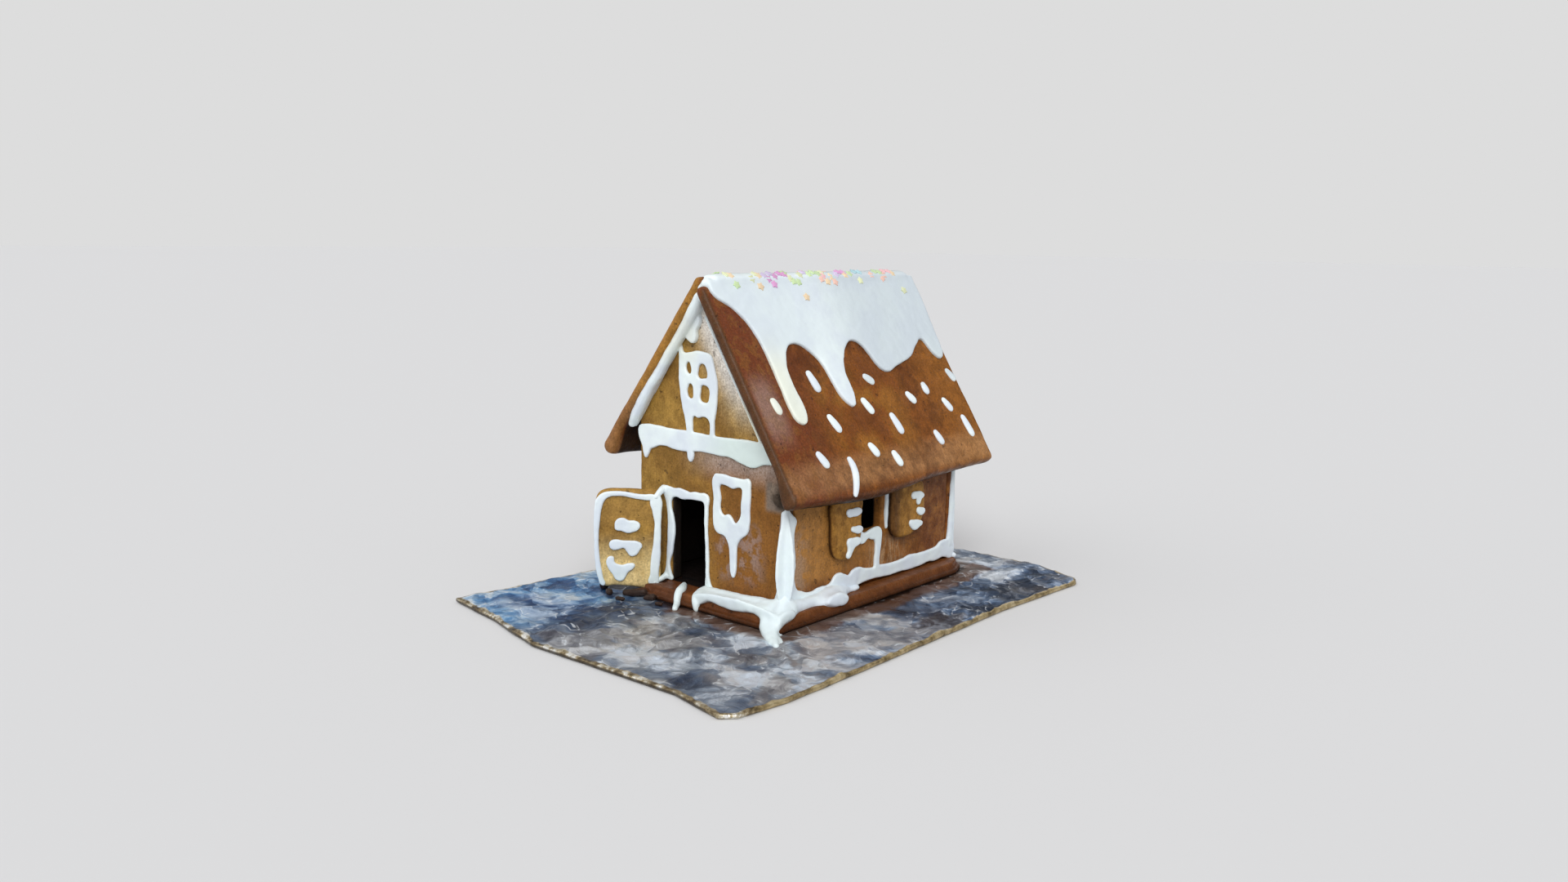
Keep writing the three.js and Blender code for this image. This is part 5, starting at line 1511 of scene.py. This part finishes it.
class GINGERBREAD_OT_roof_icing(BuildStep):
    """Spreads the icing over the ridge and pipes the dashes on the slabs"""
    bl_idname = "gingerbread.roof_icing"
    bl_label = "Roof Icing"

    def build(self, context):
        self.ridge()
        self.dashes()

    def ridge(self):
        """The snow on both slabs, and the bead along the ridge that joins them."""
        snow, rounding = sizes().snow, sizes().ridge_round
        half, tangent = ridge_rounding()
        peak = RIDGE + (snow + GAP) / math.sin(half)
        lean = (LEFT_SLOPE["angle"] - RIGHT_SLOPE["angle"]) / 2
        drop = rounding / math.sin(half)
        x, z = -math.sin(lean) * drop, peak - math.cos(lean) * drop
        sheets = []
        for _, roof, slope in ROOF_SIDES:
            line = [(y, s) for y, s in SNOW_EDGE if s > tangent]
            if roof is LEFT_ROOF:
                line = [(max(mirrored(y), SNOW_FRONT + 10), s) for y, s in line[::-1]]
            line = [(line[0][0], tangent - 0.5, 0), *line, (line[-1][0], tangent - 0.5, 0)]
            edge = [(p[0] * roof["side"], roof["reach"] - p[1], *p[2:]) for p in line]
            sheets.append(placed(slab(edge, -1.2, snow + GAP, 0.9), slope["face"]))
        straight = (SNOW_FRONT + 12, 60, 120, SNOW_BACK - 13)
        rod = bead([(x + 2.6, SNOW_FRONT + 3, z + 1.6, rounding - 4),
                    *((x, y, z, rounding - 0.05) for y in straight),
                    (x, SNOW_BACK - 6, z - 1.4, rounding - 0.6),
                    (x, SNOW_BACK - 2, z - 3.6, rounding - 2.4)])
        icing = joined("ridge_icing", [*sheets, rod])
        set_hard(icing, voxel=0.75, rounding=5, kept=0.6)
        finished(icing, FINISH["icing"], "icing", "roof_icing")

    def dashes(self):
        """Short dashes on both slabs, fewer on the left one, and the drip over the right eave."""
        for name, roof, slope in ROOF_SIDES:
            dashes = []
            for y0, s0, y1, s1 in DASHES:
                if roof is LEFT_ROOF:
                    if s0 <= 90 or s1 >= 135:
                        continue
                    y0, y1 = mirrored(y0), mirrored(y1)
                ends = [(y0 * roof["side"], roof["reach"] - s0 - DASH_RADIUS, DASH_RADIUS * 0.85),
                        (y1 * roof["side"], roof["reach"] - s1 + DASH_RADIUS, DASH_RADIUS)]
                middle = [(a + b) / 2 for a, b in zip(*ends)][:2]
                line = [ends[0], (*middle, DASH_RADIUS * 1.02), ends[1]]
                dashes.append(piped_line(line, DASH_HEIGHT))
            if roof is RIGHT_ROOF:
                drip = [(y, roof["reach"] - s, r) for y, s, r in EAVE_DRIP]
                dashes.append(piped_line(drip, DASH_HEIGHT + 0.1))
            piping = joined(f"{name}_roof_dashes", dashes)
            placed(piping, slope["face"])
            set_hard(piping, voxel=0.42, rounding=4, waves=0.3)
            finished(piping, FINISH["icing"], "icing", f"roof_{name}")


class GINGERBREAD_OT_base_icing(BuildStep):
    """Pours the icing that holds the house on its plate, with its drips onto the foil"""
    bl_idname = "gingerbread.base_icing"
    bl_label = "Base Icing"

    def build(self, context):
        plate_front = face_frame((1, 0, 0), (0, 0, 1), (0, PLATE_FRONT, 0))
        plate_side = face_frame((0, 1, 0), (0, 0, 1), (PLATE_SIDE, 0, 0))
        spills = [(FRONT_SPILL, plate_front), *((outline, plate_side) for outline in SIDE_SPILLS)]
        mass = joined("base_mass", [
            slab(BASE_PLAN, PLATE_TOP - 0.8, PLATE_TOP + 2.5, 1.3, wider=0.4),
            *(placed(dab(outline, 1.2, sunk=1.4), face) for outline, face in spills),
            *(bead(line) for line in BASE_BEADS),
        ])
        set_hard(mass, **MELTED)
        rear = bead([(x, y, PLATE_TOP + 0.8, 2.2) for x, y in BACK_BASE])
        foot = [dab(FOIL_SPILL, 1.1, sunk=0.8), *(bead(line) for line in DOORSTEP_DRIPS)]
        icing = joined("base_piping", [mass, rear, *foot])
        set_hard(icing, voxel=0.6, rounding=8)
        finished(icing, FINISH["icing"], "icing", "base_icing")


class GINGERBREAD_OT_sprinkles(BuildStep):
    """Scatters the star sprinkles along the ridge"""
    bl_idname = "gingerbread.sprinkles"
    bl_label = "Star Sprinkles"

    def build(self, context):
        draw = random.Random(7)
        snow, rounding = sizes().snow, sizes().ridge_round
        tangent = ridge_rounding()[1]
        star = self.star(sizes().sprinkle)
        names = list(SPRINKLE_COLOURS)
        spots = [(RIGHT_ROOF, RIGHT_SLOPE, *spot) for spot in SPRINKLES]
        for i in range(HIDDEN_SPRINKLES):
            spot = (6 + (i + 0.7 * draw.random()) * 14, 5 + 12 * draw.random() ** 2,
                    draw.choice(names))
            spots.append((LEFT_ROOF, LEFT_SLOPE, *spot))
        stars = []
        for roof, slope, y, under, colour in spots:
            only(star)
            bpy.ops.object.duplicate()
            copy = bpy.context.object
            lean = max(tangent - under, 0) / rounding
            turn = Matrix.Rotation(draw.random() * math.pi, 4, "Z")
            lift = Matrix.Translation((0, 0, rounding - 0.25))
            lie = Matrix.Rotation(-lean, 4, "X") @ lift @ turn
            at = Matrix.Translation((y * roof["side"], roof["reach"] - max(under, tangent),
                                     snow + GAP - rounding))
            copy.data.transform(slope["face"] @ at @ lie)
            shade = 0.9 + 0.2 * draw.random()
            tone = [min(1, c * shade) for c in SPRINKLE_COLOURS[colour]]
            layer = copy.data.color_attributes.new("sugar", "FLOAT_COLOR", "POINT")
            for point in layer.data:
                point.color = (*tone, 1)
            stars.append(copy)
        bpy.data.objects.remove(star)
        piece = joined("star_sprinkles", stars)
        finished(piece, FINISH["sprinkles"], "icing", "roof_icing")

    def star(self, reach):
        """A star drawn from a disc: every second corner pulled in, then thickened and rounded."""
        deselect()
        bpy.ops.mesh.primitive_circle_add(vertices=10, radius=reach, fill_type="NGON")
        star = bpy.context.object
        for vertex in star.data.vertices:
            if vertex.index % 2:
                vertex.co *= 0.62
        bpy.ops.object.mode_set(mode="EDIT")
        bpy.ops.mesh.select_all(action="SELECT")
        bpy.ops.mesh.extrude_region_move(TRANSFORM_OT_translate={"value": (0, 0, 1)})
        bpy.ops.mesh.select_all(action="SELECT")
        bpy.ops.mesh.normals_make_consistent(inside=False)
        bpy.ops.object.mode_set(mode="OBJECT")
        applied(star, "BEVEL", width=0.35, segments=2)
        return star


# Millimetres in the house frame, degrees, and the lens in millimetres on a 36 mm sensor.
CAMERA = {"place": (504.391, -508.018, 219.273), "azimuth": 41.227, "pitch": 9.517, "roll": 0.819,
          "lens": 27.995}


LIGHTS = [("Key light", 43, 40, 1.76, 35), ("Fill light", -35, 35, 0.45, 60)]
BACKGROUND = 0.723
GLOSS_DARK, GLOSS_BRIGHT = (0.02, 0.025, 0.035, 1), (1.1, 1.1, 1.1, 1)  # what glossy pieces reflect


class GINGERBREAD_OT_stage(BuildStep):
    """Sets up the plain studio: floor, soft lights and camera"""
    bl_idname = "gingerbread.stage"
    bl_label = "Studio"

    def build(self, context):
        self.camera()
        self.lights()
        self.floor()

    def camera(self):
        azimuth, pitch, roll = (math.radians(CAMERA[k]) for k in ("azimuth", "pitch", "roll"))
        forward = Vector((-math.sin(azimuth) * math.cos(pitch), math.cos(azimuth) * math.cos(pitch),
                          -math.sin(pitch)))
        right = Vector((math.cos(azimuth), math.sin(azimuth), 0))
        up = right.cross(forward)
        across = right * math.cos(roll) + up * math.sin(roll)
        above = up * math.cos(roll) - right * math.sin(roll)
        data = bpy.data.cameras.new("Studio camera")
        data.lens, data.sensor_width = CAMERA["lens"], 36
        data.clip_start, data.clip_end = 0.01, 20
        camera = bpy.data.objects.new("Studio camera", data)
        bpy.context.scene.collection.objects.link(camera)
        turn = Matrix((across, above, -forward)).transposed().to_4x4()
        camera.matrix_world = Matrix.Translation(HOUSE @ Vector(CAMERA["place"])) @ turn
        bpy.context.scene.camera = camera

    def lights(self):
        for name, azimuth, elevation, strength, softness in LIGHTS:
            data = bpy.data.lights.new(name, "SUN")
            data.energy, data.angle = strength, math.radians(softness)
            light = bpy.data.objects.new(name, data)
            a, e = math.radians(azimuth), math.radians(elevation)
            away = Vector((math.sin(a) * math.cos(e), -math.cos(a) * math.cos(e), math.sin(e)))
            light.rotation_euler = (-away).to_track_quat("-Z", "Y").to_euler()
            bpy.context.scene.collection.objects.link(light)
        world = bpy.data.worlds.new("Studio")
        world.use_nodes = True
        tree = world.node_tree
        background = tree.nodes["Background"]
        place = tree.nodes.new("ShaderNodeTexCoord").outputs[0]
        up = add(tree, "ShaderNodeSeparateXYZ", {0: place}).outputs[2]
        soft = mix(tree, span(tree, up, 0.0, 0.7), (0.36, 0.37, 0.4, 1), (0.62, 0.62, 0.63, 1))
        panels = add(tree, "ShaderNodeTexNoise",
                     {"Vector": place, "Scale": 2.2, "Detail": 1.0}).outputs[0]
        seen_in_gloss = mix(tree, span(tree, panels, 0.46, 0.62), GLOSS_DARK, GLOSS_BRIGHT)
        rays = tree.nodes.new("ShaderNodeLightPath").outputs
        colour = mix(tree, rays["Is Glossy Ray"], soft, seen_in_gloss)
        colour = mix(tree, rays["Is Camera Ray"], colour, (*[BACKGROUND] * 3, 1))
        tree.links.new(colour, background.inputs["Color"])
        bpy.context.scene.world = world
        bpy.context.scene.view_settings.view_transform = "Standard"

    def floor(self):
        deselect()
        bpy.ops.mesh.primitive_plane_add(size=30, location=(0, 0, -0.0002))
        floor = bpy.context.object
        floor.name = "studio_floor"
        material, _, shader, _ = new_material("Studio floor")
        shader.inputs["Base Color"].default_value = (0.7, 0.7, 0.7, 1)
        shader.inputs["Roughness"].default_value = 1
        shader.inputs["Specular IOR Level"].default_value = 0
        floor.data.materials.append(material)


STEPS = [
    GINGERBREAD_OT_board, GINGERBREAD_OT_plate, GINGERBREAD_OT_gables, GINGERBREAD_OT_side_walls,
    GINGERBREAD_OT_roof, GINGERBREAD_OT_door, GINGERBREAD_OT_shutters, GINGERBREAD_OT_gable_icing,
    GINGERBREAD_OT_side_icing, GINGERBREAD_OT_roof_icing, GINGERBREAD_OT_base_icing,
    GINGERBREAD_OT_sprinkles, GINGERBREAD_OT_stage,
]


class GINGERBREAD_PT_panel(bpy.types.Panel):
    """Lists the steps that build the gingerbread house"""
    bl_idname = "GINGERBREAD_PT_panel"
    bl_label = "Gingerbread House"
    bl_space_type = "VIEW_3D"
    bl_region_type = "UI"
    bl_category = "Gingerbread House"

    def draw(self, context):
        layout = self.layout
        for group in (context.scene.gingerbread_sizes, context.scene.gingerbread_colours):
            box = layout.box()
            for name in group.__annotations__:
                box.prop(group, name)
        for step in STEPS:
            layout.operator(step.bl_idname)


CLASSES = [HouseSizes, HouseColours, *STEPS, GINGERBREAD_PT_panel]


def register():
    for item in CLASSES:
        bpy.utils.register_class(item)
    bpy.types.Scene.gingerbread_sizes = bpy.props.PointerProperty(type=HouseSizes)
    bpy.types.Scene.gingerbread_colours = bpy.props.PointerProperty(type=HouseColours)


def unregister():
    del bpy.types.Scene.gingerbread_colours
    del bpy.types.Scene.gingerbread_sizes
    for item in reversed(CLASSES):
        bpy.utils.unregister_class(item)


def main():
    register()
    make_finishes(bpy.context.scene.gingerbread_colours)
    for step in STEPS:
        getattr(bpy.ops.gingerbread, step.bl_idname.split(".")[1])()


if __name__ == "__main__":
    main()
